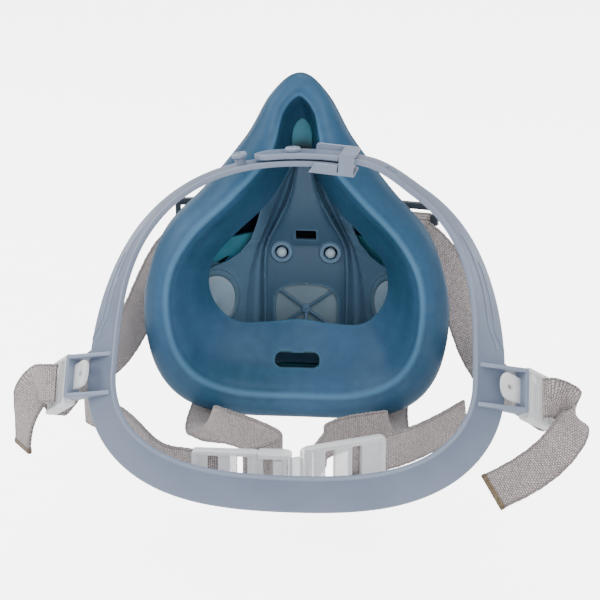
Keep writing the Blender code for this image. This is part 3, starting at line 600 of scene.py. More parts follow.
def make_port_walls():
    """The silicone that arches over each port, ahead of the adapter's wings."""
    rows = np.array((
        ((19, -12.2, 54.0), (28, -16.2, 52.8), (36, -23.6, 55.4), (46.5, -34.0, 56.2)),
        ((20, -13.5, 61.0), (29, -19.4, 61.0), (37, -26.6, 61.5), (45, -35.5, 61.0)),
        ((20, -17.0, 68.0), (28, -23, 68.0), (35, -29, 66.5), (41.5, -36, 64.5)),
    ))
    for side, name in SIDES:
        grid = spline(np.array([spline(row, 28) for row in rows]), 16) * (side, 1, 1)
        rings = [np.concatenate([line, (line + (0, 1.3, 0.3))[::-1]]) for line in grid]
        wall = mesh_object(f"port_wall_{name}", *skin(rings), SILICONE, 50)
        # Painted light marks: painted shade over both faces, and a teal painted glow of light through the
        # thin wall on one face.
        layer = wall.data.attributes.new("painted_light", "FLOAT_COLOR", "POINT")
        sides = np.repeat(((0, 0.3, 1, 0), (0, 0.3, 0, 0)), grid.shape[1], axis=0)
        layer.data.foreach_set("color", np.tile(sides, (len(grid), 1)).astype(np.float32).ravel())
        carry(wall, "facepiece", "silicone_blue")


def painted_light_attribute(seal, rings, columns):
    """Marks where the silicone's colour is painted: a highlight on the crest line, shade on the rolled edge,
    light through the thin inner wall, and shade at that wall's end and up in the nose.
    """
    # painted highlight along the crest
    crest = np.exp(-(((columns - CREST_AT) / 0.09) ** 2))
    # painted shade over the rolled edge
    roll = smooth((columns - 2.15) / 0.9)
    inner = np.zeros(len(columns))
    extra = (len(rings) - 2 * len(columns)) // 2
    back = np.ones(len(columns))
    # painted shade where the inner wall ends
    gap = smooth((columns - 6.75) / 0.5)
    # Rows in skin order: outer face with crest highlight and rolled-edge shade, front edge in painted shade,
    # inner face with painted light through the wall, light painted shade and painted shade at its end, then
    # the lip with a little painted light.
    rows = [np.column_stack([crest, roll, inner, inner]), np.tile((0, 1, 0.5, 1), (extra, 1))]
    rows += [np.column_stack([inner, 0.4 * back, back, gap])[::-1], np.tile((0, 0, 0.3, 0), (extra, 1))]
    values = np.repeat(np.concatenate(rows)[:, None], SEAL_AROUND, axis=1).astype(np.float32)
    height = np.array(rings)[:, :, 2]
    first = len(columns) + extra
    inside = slice(first, first + len(columns))
    # painted shade on the inner wall up in the nose
    nose = smooth((height[inside] - 96) / 8) * smooth((columns[::-1, None] - NOSE_GAP) / 0.35)
    values[inside, :, 3] = np.maximum(values[inside, :, 3], nose)
    layer = seal.data.attributes.new("painted_light", "FLOAT_COLOR", "POINT")
    layer.data.foreach_set("color", values.ravel())


def seal_columns(last):
    """Places along a row, close together at the lip, the crest and the front edge."""
    lip = np.linspace(0, 0.3, 6, endpoint=False)
    flange = np.linspace(0.3, 1.5, 14, endpoint=False)
    crest = np.linspace(1.5, 2.5, 30, endpoint=False)
    return np.concatenate([lip, flange, crest, np.linspace(2.5, last, 46)])


def rounded_edge(first, before, second, steps=3):
    """Rings that round off a wall's edge between its two sides."""
    middle = (first + second) / 2
    half = (first - second) / 2
    out = first - before
    out /= np.linalg.norm(out, axis=1, keepdims=True)
    reach = np.linalg.norm(half, axis=1, keepdims=True)
    turns = [math.pi * k / (steps + 1) for k in range(1, steps + 1)]
    return [middle + half * math.cos(t) + out * reach * math.sin(t) for t in turns]


# ---------------------------------------------------------------- centre adapter

# Height, then the half widths of the ridge, the wing fold and the edge at that height.
ADAPTER_ROWS = np.array((
    (9.0, 12.0, 18.0, 24.0), (12.0, 16.5, 24.5, 34.0), (20.0, 17.6, 26.5, 44.0), (30.0, 17.6, 26.2, 48.0),
    (40.0, 17.6, 25.6, 49.0), (50.0, 17.6, 24.6, 48.0), (54.5, 17.5, 23.4, 46.5), (56.3, 17.4, 22.9, 39.0),
    (58.0, 17.3, 22.5, 32.0), (60.5, 17.0, 21.8, 27.5), (66.0, 15.2, 19.6, 23.0), (74.0, 11.2, 16.4, 20.0),
    (82.0, 7.6, 13.4, 17.6), (90.0, 5.0, 10.4, 14.4), (98.0, 3.4, 6.4, 9.2), (103.0, 2.0, 3.8, 5.4),
))


def adapter_section(z):
    """Half a cross section as (x, y) points from the middle to the edge."""
    ridge, fold, edge = (np.interp(z, ADAPTER_ROWS[:, 0], ADAPTER_ROWS[:, k]) for k in (1, 2, 3))
    size = min(1.0, ridge / 10)
    base = float(panel_y(z))
    depth = min(1.0, (edge - fold) / 4)
    wing = 0.92 * max(0.0, edge - fold)
    valley = fold - ridge
    keys = [
        (0, 0), (ridge * 0.45, 0), (ridge - 1.8 * size, -0.1), (ridge - 0.6 * size, -1.5), (ridge, -2.0),
        (ridge + 0.7 * size, -1.3), (ridge + valley * 0.35, 1.6), (ridge + valley * 0.62, 1.2),
        (fold - 0.7, -2.2 * depth - 0.4), (fold + 0.5, -3.8 * depth - 0.4),
        (fold + (edge - fold) * 0.4 + 0.3, -3.9 * depth - 0.4 - wing * 0.36),
        (edge, -3.4 * depth - 0.4 - wing),
    ]
    half = spline(keys, 78)
    half[:, 0] = np.maximum.accumulate(half[:, 0])
    return np.column_stack([half[:, 0], base + half[:, 1] + 0.25, np.full(len(half), z)])


def make_center_adapter():
    heights = np.concatenate([np.linspace(9, 53, 60), np.linspace(53.5, 60, 22), np.linspace(60.6, 103, 66)])
    back, front = [], []
    for z in heights:
        half = adapter_section(z)
        row = np.concatenate([half[:0:-1] * (-1, 1, 1), half])
        back.append(row)
        front.append(row + (0, PANEL_T, 0))
    rings = [np.concatenate([b, f[::-1]]) for b, f in zip(back, front)]
    body = mesh_object("adapter_panel", *skin(rings), SHELL, 60)
    valve_z = (low("exhalation_flap")[2] + high("exhalation_flap")[2]) / 2
    cutters = [
        cutter(body, box_outline(-4.4, 4.4, -2.2, 2.2, 0.3), 30, (0, PANEL_Y, WINDOW_Z)),
        cutter(body, valve_outline(), 30, (0, PANEL_Y, valve_z)),
    ]
    for side, name in SIDES:
        centre, axis, across = port_frame(side)
        cutters.append(cutter(body, arc(PORT_TUBE + 0.2, 64), 40, centre, (across, Z, axis)))
        cutters.append(cutter(body, arc(2.9, 32), 14, stud_centre(side)))
    subtract(body, *cutters)
    shade(body.data, 38)
    seat = []
    hub = np.array((0, PANEL_Y + 1.1, valve_z + 1.0))
    for k, angle in enumerate((36, 144, 216, 324, 270)):
        way = np.array((math.cos(math.radians(angle)), 0, math.sin(math.radians(angle))))
        seat.append(bar(f"spoke_{k}", hub, hub + way * 16.5, Y, 1.25, 1.6, SHELL, 0.35))
    seat.append(lathe("hub", [(0.1, -1.2), (1.5, -1.1), (1.9, -0.6), (1.9, 0.8), (0.1, 0.9)], hub, Y, SHELL))
    rim = valve_outline(0.7)
    seat.append(plate("seat_rim", rim, 1.1, hub - Z + Y * 0.9, UPRIGHT, SHELL, [valve_outline(-0.3)]))
    for side, name in SIDES:
        ring = [(2.9, 0.6), (2.9, -0.9), (3.3, -1.3), (4.3, -1.3), (4.8, -0.8), (5.1, 0.0), (5.3, 0.6)]
        seat.append(lathe(f"boss_{name}", ring, stud_centre(side), Y, SHELL, 56, True))
    details = fuse("adapter_details", seat)
    carry(body, "facepiece", "shell_slate", "center_adapter")
    carry(details, "facepiece", "shell_slate")


def valve_outline(grow=0.0):
    """The exhalation opening: a rounded arch with a flat top."""
    points = []
    for t in np.linspace(0, TAU, 96, endpoint=False):
        c, s = math.cos(t), math.sin(t)
        u = math.copysign(abs(c) ** 0.72, c) * (13.6 + grow)
        v = math.copysign(abs(s) ** 0.62, s) * (11.8 + grow)
        points.append((u, v + 0.4))
    return points


def stud_centre(side):
    name = "right" if side > 0 else "left"
    corner, far = low(f"cover_stud_{name}"), high(f"cover_stud_{name}")
    return np.array(((corner[0] + far[0]) / 2, PANEL_Y, (corner[2] + far[2]) / 2))


def make_studs():
    for side, name in SIDES:
        profile = [(0.05, -3.3), (0.9, -3.15), (1.7, -2.6)]
        profile += [(2.15, -1.8), (2.2, -1.2), (1.9, -0.6), (1.6, -0.3)]
        profile += [(1.6, 2.6), (0.05, 2.7)]
        stud = lathe(f"stud_{name}", profile, stud_centre(side), Y, STEEL)
        carry(stud, "facepiece", "stud_steel", f"cover_stud_{name}")


# ---------------------------------------------------------------- ports and valves

PORT_BORE, PORT_TUBE, PORT_FLANGE = 11.5, 14.0, 16.4


def port_frame(side):
    """Centre of the port's base on the wing, its outward axis and the axis across the wing."""
    name = "right" if side > 0 else "left"
    _, inward = joint(f"inhalation_lift_{name}")
    axis = -unit(inward)
    lower, upper = low(f"port_gasket_{name}"), high(f"port_gasket_{name}")
    centre = (lower + upper) / 2 - axis * 5.8
    return centre, axis, unit(np.cross(axis, Z))


def make_ports():
    for side, name in SIDES:
        centre, axis, across = port_frame(side)
        b, t, f = PORT_BORE, PORT_TUBE, PORT_FLANGE
        tube = [(b, -0.6), (b, 0.4), (b - 1.5, 0.6), (b - 1.5, 1.6), (b, 1.8), (b, 10.6), (b + 0.4, 11)]
        tube += [(t - 0.4, 11), (t, 10.6), (t, 5.0), (f - 0.3, 4.6), (f, 4.3)]
        tube += [(f, 2.7), (f - 0.3, 2.3), (t, 2.3), (t, -0.6), (t - 0.5, -1.0), (b + 0.5, -1.0)]
        parts = [lathe(f"tube_{name}", tube, centre, axis, PORT, 72, True)]
        for k in range(3):
            start = math.radians(120 * k + 10)
            lug = arc(16.2, 12, start, math.radians(40)) + arc(t - 0.6, 12, start, math.radians(40))[::-1]
            parts.append(plate(f"lug_{name}_{k}", lug, 1.8, centre + axis * 9.5, (across, Z, axis), PORT))
            angle = math.radians(90 + 120 * k)
            way = across * math.cos(angle) + Z * math.sin(angle)
            hub = centre + axis * 1.4
            parts.append(bar(f"spoke_{name}_{k}", hub, hub + way * (b + 0.6), axis, 1.8, 2.0, PORT))
        hub = [(0.1, 0.4), (2.2, 0.4), (2.6, 0.8), (2.6, 2.1), (2.2, 2.5), (0.1, 2.5)]
        parts.append(lathe(f"port_hub_{name}", hub, centre, axis, PORT))
        port = fuse(f"port_{name}", parts)
        carry(port, "facepiece", "shell_slate", f"bayonet_port_{name}")
        ring = [(t + 0.3, 5.1), (t + 0.3, 6.3), (t + 0.6, 6.6)]
        ring += [(f + 0.8, 6.6), (f + 1.1, 6.2), (f + 1.1, 5.3)]
        ring += [(f + 0.8, 5.0), (t + 0.6, 5.0)]
        gasket = lathe(f"gasket_{name}", ring, centre, axis, GASKET, 72, True)
        carry(gasket, "facepiece", "gasket_black", f"port_gasket_{name}")
        disc = [(0.05, -1.5), (1.2, -1.4), (2.0, -0.95), (b - 1.4, -0.85), (b - 0.3, -0.7), (b - 0.3, -0.4)]
        disc += [(1.4, 0.0), (0.05, 0.1)]
        flap = lathe(f"inhale_disc_{name}", disc, centre, axis, FLAP, 72)
        carry(flap, f"inhalation_valve_{name}", "valve_silicone", f"inhalation_flap_{name}")


def make_exhalation_disc():
    lower, upper = low("exhalation_flap"), high("exhalation_flap")
    radius = (upper[0] - lower[0]) / 2
    centre = (lower + upper) / 2
    face = PANEL_Y + 2.95
    profile = [(0.05, face - 2.4), (1.2, face - 2.4)]
    profile += [(1.2, face), (radius - 0.4, face), (radius, face + 0.25)]
    profile += [(radius - 0.3, face + 0.55), (4.0, face + 0.8), (2.0, face + 1.2), (0.05, face + 1.3)]
    disc = lathe("exhale_disc", profile, (centre[0], 0, centre[2]), Y, VALVE, 72)
    carry(disc, "exhalation_valve", "valve_silicone", "exhalation_flap")


# ---------------------------------------------------------------- front cover

COVER_BACK = 2.8  # the back edge, ahead of the centre panel's inner face
# Half the outline as width and height, then inset and depth pairs over the outside and back along the inside.
COVER_OUTLINE = (
    (0, 0), (13, 0), (18, 4), (21, 14), (22, 30), (20.5, 48), (16.5, 62), (11, 73), (5, 79), (0, 80.5),
)
COVER_DEPTHS = ((0, 8.5), (1.2, 12), (4, 15), (9, 17), (15, 17.5))
COVER_INSIDES = ((17, 15.5), (10, 15), (5, 12.5), (2.6, 9))


def cover_ring(inset, y):
    """The cover's outline at one depth, drawn in by inset; a callable y follows the adapter's lean."""
    centre = np.array((0.0, 38.0))
    outline = spline(both_sides(np.array(COVER_OUTLINE, float)), 200, closed=True)
    outline[:, 1] = np.maximum(outline[:, 1], 0.0)
    reach = np.linalg.norm(outline - centre, axis=1, keepdims=True)
    drawn = centre + (outline - centre) * (reach - inset) / reach
    return np.array([(x, y(z) if callable(y) else y, z) for x, z in drawn])


def cover_back(z):
    return panel_y(z) + COVER_BACK


def make_front_cover():
    """The hollow cover over the exhalation valve, open at the back, with outlet slots low on its front."""
    outer = [cover_ring(0, cover_back), cover_ring(0, lambda z: cover_back(z) + 0.6)]
    outer += [cover_ring(inset, y) for inset, y in spline(np.array(COVER_DEPTHS, float), 22)]
    inner = [cover_ring(inset, y) for inset, y in spline(np.array(COVER_INSIDES, float), 9)]
    inner.append(cover_ring(2.0, cover_back))
    cover = mesh_object("valve_cover", *skin([*outer[::-1], *inner[::-1]]), COVER, 40)
    slots = [rounded(21 - 1.2 * k, 2.4, 1.0) for k in range(4)]
    subtract(cover, *(cutter(cover, slot, 16, (0, 14, 9.0 + 5.2 * k)) for k, slot in enumerate(slots)))
    shade(cover.data, 40)
    carry(cover, "cover", "shell_slate", "front_cover")


# ---------------------------------------------------------------- head cradle

# The band is a loop in a tilted plane through its foot, the middle of the rear, with its width coned outward.
CRADLE_FOOT = np.array((5.0, -153.0, 8.0))
CRADLE_TILT = math.radians(56)
CRADLE_HALF, REAR_DEPTH, CROWN_DEPTH = 72.0, 42.5, 86.5
UPPER_BULGE, LOWER_BULGE = 5.5, 3.5
CONE, CONE_CROWN = math.radians(50), math.radians(32)
REAR_W, CROWN_W, BAND_T = 15.0, 12.0, 2.0
CROWN_LIFT = 2.9  # the right crown band's rise over the left one
# Places along the crown, as distances to the right of its middle. The guide's are its ends and its bridge.
TONGUE_HINGE, TONGUE_TIP = 13.0, -18.5
LEFT_END = 18.5
PEGS = (-23.5, -4.5)
SPARE_HOLE = 31.0
GUIDE = (3.0, 20.0, 14.0)
UP_PLANE = np.array((0, math.cos(CRADLE_TILT), math.sin(CRADLE_TILT)))
OFF_PLANE = np.array((0, -math.sin(CRADLE_TILT), math.cos(CRADLE_TILT)))


def cradle_centre(phi):
    depth, bulge = (CROWN_DEPTH, UPPER_BULGE) if math.sin(phi) > 0 else (REAR_DEPTH, LOWER_BULGE)
    fuller = bulge * math.sin(2 * phi) ** 2
    up = REAR_DEPTH + (depth + fuller) * math.sin(phi)
    return CRADLE_FOOT + X * (CRADLE_HALF + fuller) * math.cos(phi) + UP_PLANE * up


def cradle_frame(phi):
    """The band's centre, and its length, width and outward directions. phi is 0 at its right side."""
    centre = cradle_centre(phi)
    along = unit(cradle_centre(phi + 0.004) - cradle_centre(phi - 0.004))
    out = np.cross(along, OFF_PLANE)
    cone = CONE + (CONE_CROWN - CONE) * smooth(math.sin(phi))
    face = math.cos(cone) * out + math.sin(cone) * OFF_PLANE
    across = -math.sin(cone) * out + math.cos(cone) * OFF_PLANE
    return centre, np.cross(face, across), across, face


def band_width(phi):
    return REAR_W + (CROWN_W - REAR_W) * smooth((math.sin(phi) - 0.1) / 0.5)


def crown_angle(x):
    return math.acos(x / CRADLE_HALF)


def crown_lift(phi):
    return CROWN_LIFT * smooth((phi - crown_angle(42)) / (crown_angle(23) - crown_angle(42)))


def band_section(width, bead):
    """A rounded band section with a raised bead along its inner edge."""
    w, t = width / 2, BAND_T / 2
    top = [(-w + 0.2, t - 0.35), (-w + 0.6, t - 0.05), (-w + 1.4, t)]
    top += [(w - 1.5, t), (w - 1.1, t + bead * 0.4)]
    top += [(w - 0.9, t + bead), (w - 0.4, t + bead), (w - 0.1, t + bead * 0.5)]
    end = [(w, t * 0.5), (w, -t * 0.5), (w - 0.3, -t + 0.1), (w - 0.8, -t)]
    under = [(-w + 0.8, -t), (-w + 0.25, -t + 0.2), (-w, -t + 0.6), (-w, t - 0.7)]
    return top + end + under


def band_piece(name, angles, lift, bead=0.35, narrow=None):
    rings = []
    for k, phi in enumerate(angles):
        centre, _, across, face = cradle_frame(phi)
        section = np.array(band_section(band_width(phi), bead))
        share = 1.0 if narrow is None else narrow[k]
        section[:, 0] *= share
        rings.append(centre + face * lift(phi) + section[:, :1] * across + section[:, 1:] * face)
    return mesh_object(name, *skin(rings), BAND, 55)


def crown_place(x, lift):
    centre, along, across, face = cradle_frame(crown_angle(x))
    return centre + face * lift, along, across, face


def keeper(side, name):
    """The moulded frame on the side of the band: two tapered walls and an outer bar."""
    centre, along, across, face = cradle_frame(0.0 if side > 0 else math.pi)
    wall = [(5.6, 0.6), (4.9, 1.3), (-11.2, 6.2), (-13.6, 6.4)]
    wall += [(-14.0, 5.8), (-14.0, 0.9), (-13.4, 0.3), (-6.9, 0.2)]
    parts = []
    for end in (-1, 1):
        at = centre + along * end * 7.45
        parts.append(plate(f"wall_{name}_{end}", wall, 1.7, at, (across, face, -along), BAND, bevel=0.35))
    outer = centre - across * 13.2 + face * 3.4
    parts.append(bar(f"outer_{name}", outer - along * 8.2, outer + along * 8.2, face, 1.7, 6.2, BAND, 0.4))
    return parts


def hook_line(side, name):
    """The raised hook-shaped lines moulded on the band above each keeper."""
    parts = []
    start = 0.0 if side > 0 else math.pi
    for k, (inner, outer, length) in enumerate(((0.2, 0.2, 30), (-3.2, -2.2, 22))):
        path = []
        for s in range(26):
            share = s / 25
            turn = start + side * math.radians(9.5 + length * share)
            centre, _, across, face = cradle_frame(turn)
            bend = inner + (outer - inner) * share - 3.4 * smooth((0.22 - share) / 0.22)
            path.append((centre + across * bend + face * (BAND_T / 2 + 0.05), across, face))
        rings = []
        for place, across, face in path:
            rings.append([place + across * 0.32 * c + face * 0.3 * s for c, s in arc(1.0, 8)])
        parts.append(mesh_object(f"line_{name}_{k}", *skin(rings), BAND, 60))
    return parts


def peg(name, x):
    base, _, _, face = crown_place(x, BAND_T / 2)
    profile = [(0.05, -0.6), (2.1, -0.6), (2.1, 2.3)]
    profile += [(2.7, 2.7), (3.0, 3.2), (3.0, 4.1), (2.7, 4.5), (1.2, 4.6)]
    profile += [(0.95, 4.3), (0.9, 3.2), (0.05, 3.1)]
    return lathe(name, profile, base, face, BAND, 40)


def make_cradle():
    start, stop = crown_angle(TONGUE_HINGE + 0.2), crown_angle(LEFT_END) - TAU
    ring = band_piece("ring", np.linspace(start, stop, 300), crown_lift)
    place, along, across, face = crown_place(SPARE_HOLE, 0)
    subtract(ring, cutter(ring, arc(3.0, 40), 20, place, (along, across, face)))
    parts = [ring]
    for side, name in SIDES:
        parts += keeper(side, name) + hook_line(side, name)
    for k, x in enumerate(PEGS):
        parts.append(peg(f"peg_{k}", x))
    cradle = fuse("cradle_ring", parts)
    shade(cradle.data, 50)
    carry(cradle, "cradle", "band_grey", "head_cradle")


def make_tongue():
    tip_x = TONGUE_TIP + 6
    angles = list(np.linspace(crown_angle(TONGUE_HINGE), crown_angle(tip_x), 50))
    narrow = [1.0] * len(angles)
    for k in range(1, 13):
        turn = math.radians(7.2 * k)
        angles.append(crown_angle(tip_x - 6 * math.sin(turn)))
        narrow.append(math.cos(turn))
    tongue = band_piece("tongue_band", angles, lambda phi: CROWN_LIFT, 0.3, narrow)
    place, along, across, face = crown_place(PEGS[1], CROWN_LIFT)
    subtract(tongue, cutter(tongue, arc(2.55, 40), 9, place, (along, across, face)))
    carry(tongue, "tongue", "band_grey", "crown_tongue")


def make_guide():
    """The buckle round both crown bands: a floor, a far wall, a low near wall with a post, and a top plate
    over its right end."""
    left, right, bridge = GUIDE
    middle, length = (left + right) / 2, right - left
    place, along, across, face = crown_place(middle, 0)
    along = -along
    side = CROWN_W / 2 + 0.8
    floor = box_outline(-length / 2, length / 2, -side - 1.2, side + 0.9)
    parts = [plate("floor", floor, 1.1, place - face * 2.5, (along, across, face), BAND)]
    open_end = length / 2
    shut_end = open_end - (bridge - left)
    far_wall = [(shut_end - 2, -2.9), (open_end, -2.9)]
    far_wall += [(open_end, 5.0), (open_end - 0.8, 5.8), (shut_end - 2, 5.8)]
    near_wall = [(shut_end + 0.8, -3.0), (open_end + 0.6, -3.0), (open_end - 1.6, 1.0), (shut_end + 0.8, 1.0)]
    post = [(-length / 2 + 0.6, -2.9), (shut_end + 0.4, -2.9)]
    post += [(shut_end + 0.4, 5.0), (-length / 2 + 0.6, 5.0)]
    walls = (("far", far_wall, -side - 0.7), ("near", near_wall, side + 0.4), ("post", post, side + 0.3))
    for name, wall, at in walls:
        parts.append(plate(f"guide_{name}", wall, 1.3, place + across * at, (along, face, -across), BAND))
    top = box_outline(-length / 2, shut_end, -side - 1.4, side + 1.1, 0.8)
    parts.append(plate("top", top, 1.4, place + face * 5.2, (along, across, face), BAND))
    guide = fuse("guide_buckle", parts)
    carry(guide, "cradle", "band_grey", "crown_guide")


# ---------------------------------------------------------------- webbing


EDGE_SWAY = 0.12  # how far the webbing's edges wander, in millimetres


def ribbon(name, path, widths, look=WEBBING, width=STRAP_W, thick=STRAP_T, step=0.8, seed=0.0):
    """Webbing along a path, with rounded, slightly uneven edges and millimetres as texture coordinates."""
    length = np.linalg.norm(np.diff(spline(path, 200), axis=0), axis=1).sum()
    centre, run, across = even(path, max(8, int(length / step)), widths)
    along = np.gradient(centre, axis=0)
    section = np.array(rounded(width, thick, thick * 0.42, 3))
    lanes = np.linspace(-width / 2 + 0.6, width / 2 - 0.6, 14)
    top = [(-u, thick / 2) for u in lanes]
    under = [(u, -thick / 2) for u in lanes]
    right = [p for p in section if p[0] > width / 2 - 0.56]
    left = [p for p in section if p[0] < -width / 2 + 0.56]
    outline = np.array(under + sorted(right, key=lambda p: p[1]) + top + sorted(left, key=lambda p: -p[1]))
    rings, uvs = [], []
    for c, w, t, s in zip(centre, across, along, run):
        t = unit(t)
        w = unit(w - t * np.dot(w, t))
        n = np.cross(t, w)
        sway = 1 + EDGE_SWAY / width * (math.sin(s * 0.9 + seed) + math.sin(s * 2.3 + seed * 2))
        rings.append(c + outline[:, :1] * w * sway + outline[:, 1:] * n)
        uvs.append(np.column_stack([outline[:, 0] + width / 2, np.full(len(outline), s)]))
    return mesh_object(name, *skin(rings), look, 50, uv=np.concatenate(uvs))


def buckle_frame(side):
    """Pivot on the keeper bar, then along the bar, away from the cradle, and outward."""
    name = "right" if side > 0 else "left"
    pivot, _ = joint(f"buckle_turn_{name}")
    _, along, across, face = cradle_frame(0.0 if side > 0 else math.pi)
    turn = math.radians(21)
    away = -math.cos(turn) * across - math.sin(turn) * face
    return pivot, along, away, -math.sin(turn) * across + math.cos(turn) * face


# Heights and offsets from the yoke's loop, down one side of its bar, under it and up the other.
LOOP_FOLD = (
    (-9.5, -2.4), (-5.0, -2.3), (-2.2, -2.3), (-0.7, -1.6), (-0.35, 0), (-0.7, 1.6), (-2.2, 2.4), (-6.0, 2.8),
)


def make_upper_straps():
    for side, name in SIDES:
        pivot, along, away, outward = buckle_frame(side)
        hinge, _ = joint("cradle_swing")
        loop = np.array((side * 45.5, hinge[1], hinge[2]))
        end = pivot + away * 32.0 - outward * 6.0
        bar_way = unit((1, -side * 0.25, 0))
        thin = unit(np.cross(bar_way, Z))
        path = [loop + Z * o + thin * t for o, t in LOOP_FOLD]
        path += [
            (side * 58.5, -22.0, 58.5), (side * 69.0, -40.0, 37.0), (side * 75.0, -58.0, 26.5),
            (side * 82.0, -78.0, 26.5), end,
        ]
        up = along * math.copysign(1, along[2])
        widths = [tuple(bar_way)] * len(LOOP_FOLD) + [(0.8, 0.1, side * 0.3), (0.75, 0.35, side * 0.5)]
        widths += [(0.3, 0.2, side * 0.9), (0.1, 0.3, side * 0.95), tuple(up * side)]
        widths = [tuple(np.array(w) * side) for w in widths]
        strap = ribbon(f"strap_upper_{name}", path, widths, step=0.6, seed=side)
        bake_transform(strap)
        dress(strap, "webbing_grey", f"upper_strap_{name}")
        make_strap_link(side, name, end, path[-2], up)
        make_strap_tail(side, name, up)


def make_strap_link(side, name, end, before, up):
    """The short run that turns from the upper strap into the buckle."""
    pivot, _, away, outward = buckle_frame(side)
    lead = unit(end - np.array(before))
    path = [end - lead * 2, end + lead * 2.5]
    path += [pivot + away * a - outward * o for a, o in ((30.5, 2.2), (25, 2.6), (19, 2.6))]
    link = ribbon(f"strap_link_{name}", path, [up] * 5, width=STRAP_W - 0.3, seed=side + 2)
    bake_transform(link)


def make_strap_tail(side, name, up):
    pivot, _, away, outward = buckle_frame(side)
    start = pivot + away * 14.0 + outward * 3.0
    if side > 0:
        path = [start, start + away * 1.5 + outward * 4.5, (107, -116.5, 32), (109.5, -120, 28.5)]
        path += [(107, -124.5, 23.5), (100.5, -130, 17), (91, -135, 11), (79, -139, 5.4)]
        widths = [up, (-0.1, 0.3, 0.93), (-0.2, 0.2, 0.95), (-0.35, 0.2, 0.92)]
        widths += [(-0.5, 0.25, 0.83), (-0.6, 0.3, 0.7), (-0.64, 0.4, 0.58), (-0.64, 0.5, 0.45)]
    else:
        path = [start, start + away * 3 + outward * 3, (-97, -110, 31), (-100.5, -111, 23)]
        path += [(-102, -112, 14), (-102.5, -112.5, 6)]
        widths = [up, (0.05, 0.35, 0.93), (-0.1, 0.3, 0.93), (-0.4, 0.5, 0.77)]
        widths += [(-0.5, 0.75, 0.35), (-0.5, 0.8, 0.3)]
    widths = [tuple(unit(w)) for w in widths]
    tail = ribbon(f"tail_{name}", path, widths, seed=side + 5)
    carry(tail, f"buckle_{name}", "webbing_grey", f"strap_tail_{name}")
    tip, before = np.array(path[-1], float), np.array(path[-2], float)
    lead = unit(tip - before)
    path = [tip - lead * 1.6, tip - lead * 0.7, tip + lead * 0.25]
    stitched = ribbon(f"tail_end_{name}", path, [widths[-1]] * 3, STITCH, STRAP_W + 0.5, STRAP_T + 0.45, 0.3)
    carry(stitched, f"buckle_{name}", "webbing_grey")


# How far each clasp reaches from the pin, and its body.
CLASPS = {1: (42.0, "clasp_half_right"), -1: (34.0, "neck_straps")}


def clasp_axes(side):
    turn = math.radians(28) if side > 0 else math.pi
    away = np.array((math.cos(turn), math.sin(turn), 0.0))
    return away, np.cross(Z, away)


def make_neck_straps():
    pivot, _ = joint("clasp_turn")
    for side, name in SIDES:
        away, across = clasp_axes(side)
        behind = across if across[1] > 0 else -across
        far = high(f"chin_strap_{name}")
        x0 = side * 37.0
        path = [(x0, far[1] + 4.0, 6.5), (x0, -20, 3.4), (x0 + side, -30, 1.5), (x0 + side, -50, 1.3)]
        widths = [X, X, X, X]
        if side > 0:
            path += [(39, -68, 1.5), (40.5, -77, 2.6), (39.5, -84, 6.8)]
            path += [(33, -91, 9.5), (22, -97, 9.5), (15.5, -105, 9.5)]
            path += [(15.5, -113, 9.5), pivot + away * 15.0 + behind * 4.2]
            widths += [X, (0.9, 0, -0.35), (0.5, 0, -0.9), -Z, -Z, -Z, -Z, -Z]
        else:
            path += [(-37.5, -68, 1.5), (-36.5, -77, 2.6), (-33, -84, 6.8), (-25, -93, 9.5), (-11, -104, 9.5)]
            path += [(-1.5, -115, 9.5), (-3, -124, 9.5), pivot + away * 15.0 + behind * 3.6]
            widths += [X, (0.9, 0, 0.35), (0.5, 0, 0.9), Z, Z, Z, Z, Z]
        strap = ribbon(f"strap_neck_{name}", path, widths, seed=side + 9)
        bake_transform(strap)
        dress(strap, "webbing_grey", f"chin_strap_{name}", f"neck_strap_{name}")
        length, body = CLASPS[side]
        path = [pivot + away * (length - 14) + behind * 2.2, pivot + away * (length + 3) + behind * 3.2]
        if side > 0:
            path += [(50, -103, 9.5), (60, -90, 10), (69, -80, 12)]
        else:
            path += [(-47, -127, 9.5), (-63, -106, 13), (-84, -80, 11.5)]
        tail = ribbon(f"neck_tail_run_{name}", path, [Z] * 5, seed=side + 12)
        carry(tail, body, "webbing_grey", f"neck_tail_{name}")


# ---------------------------------------------------------------- clear plastic


def make_side_buckles():
    for side, name in SIDES:
        pivot, along, away, outward = buckle_frame(side)
        axes = (along, away, outward)
        slots = [box_outline(-7.9, 7.9, at - 1.9, at + 1.9, 0.7) for at in (11.0, 19.0)]
        ladder = box_outline(-9.75, 9.75, 3.3, 28.3, 2.2)
        parts = [plate(f"ladder_{name}", ladder, 2.4, pivot - outward * 0.9, axes, CLEAR, slots, 0.5)]
        for end in (-1, 1):
            rail = pivot + along * end * 9.0 + outward * 1.0
            start, stop = rail + away * 4, rail + away * 27.5
            parts.append(bar(f"rail_{name}_{end}", start, stop, outward, 1.4, 2.6, CLEAR, 0.4))
        for k, at in enumerate((7.4, 15.0, 26.0)):
            rib = pivot + away * at + outward * 0.9
            start, stop = rib - along * 8.8, rib + along * 8.8
            parts.append(bar(f"rib_{name}_{k}", start, stop, outward, 2.0, 2.0, CLEAR, 0.5))
        tab = [(-4.9, 4.6), (4.9, 4.6), (4.9, -5.2)]
        tab += [(u, v - 5.2) for u, v in arc(4.9, 15, 0.0, -math.pi)][1:-1] + [(-4.9, -5.2)]
        slot = [(u, v - 3.6) for u, v in rounded(1.8, 4.6, 0.85, 5)]
        at = pivot - away * 3.2 - outward * 0.4
        parts.append(plate(f"tab_{name}", tab, 1.5, at, axes, CLEAR, [slot], 0.35))
        buckle = fuse(f"buckle_{name}", parts)
        carry(buckle, f"buckle_{name}", "clear_plastic", f"side_buckle_{name}")


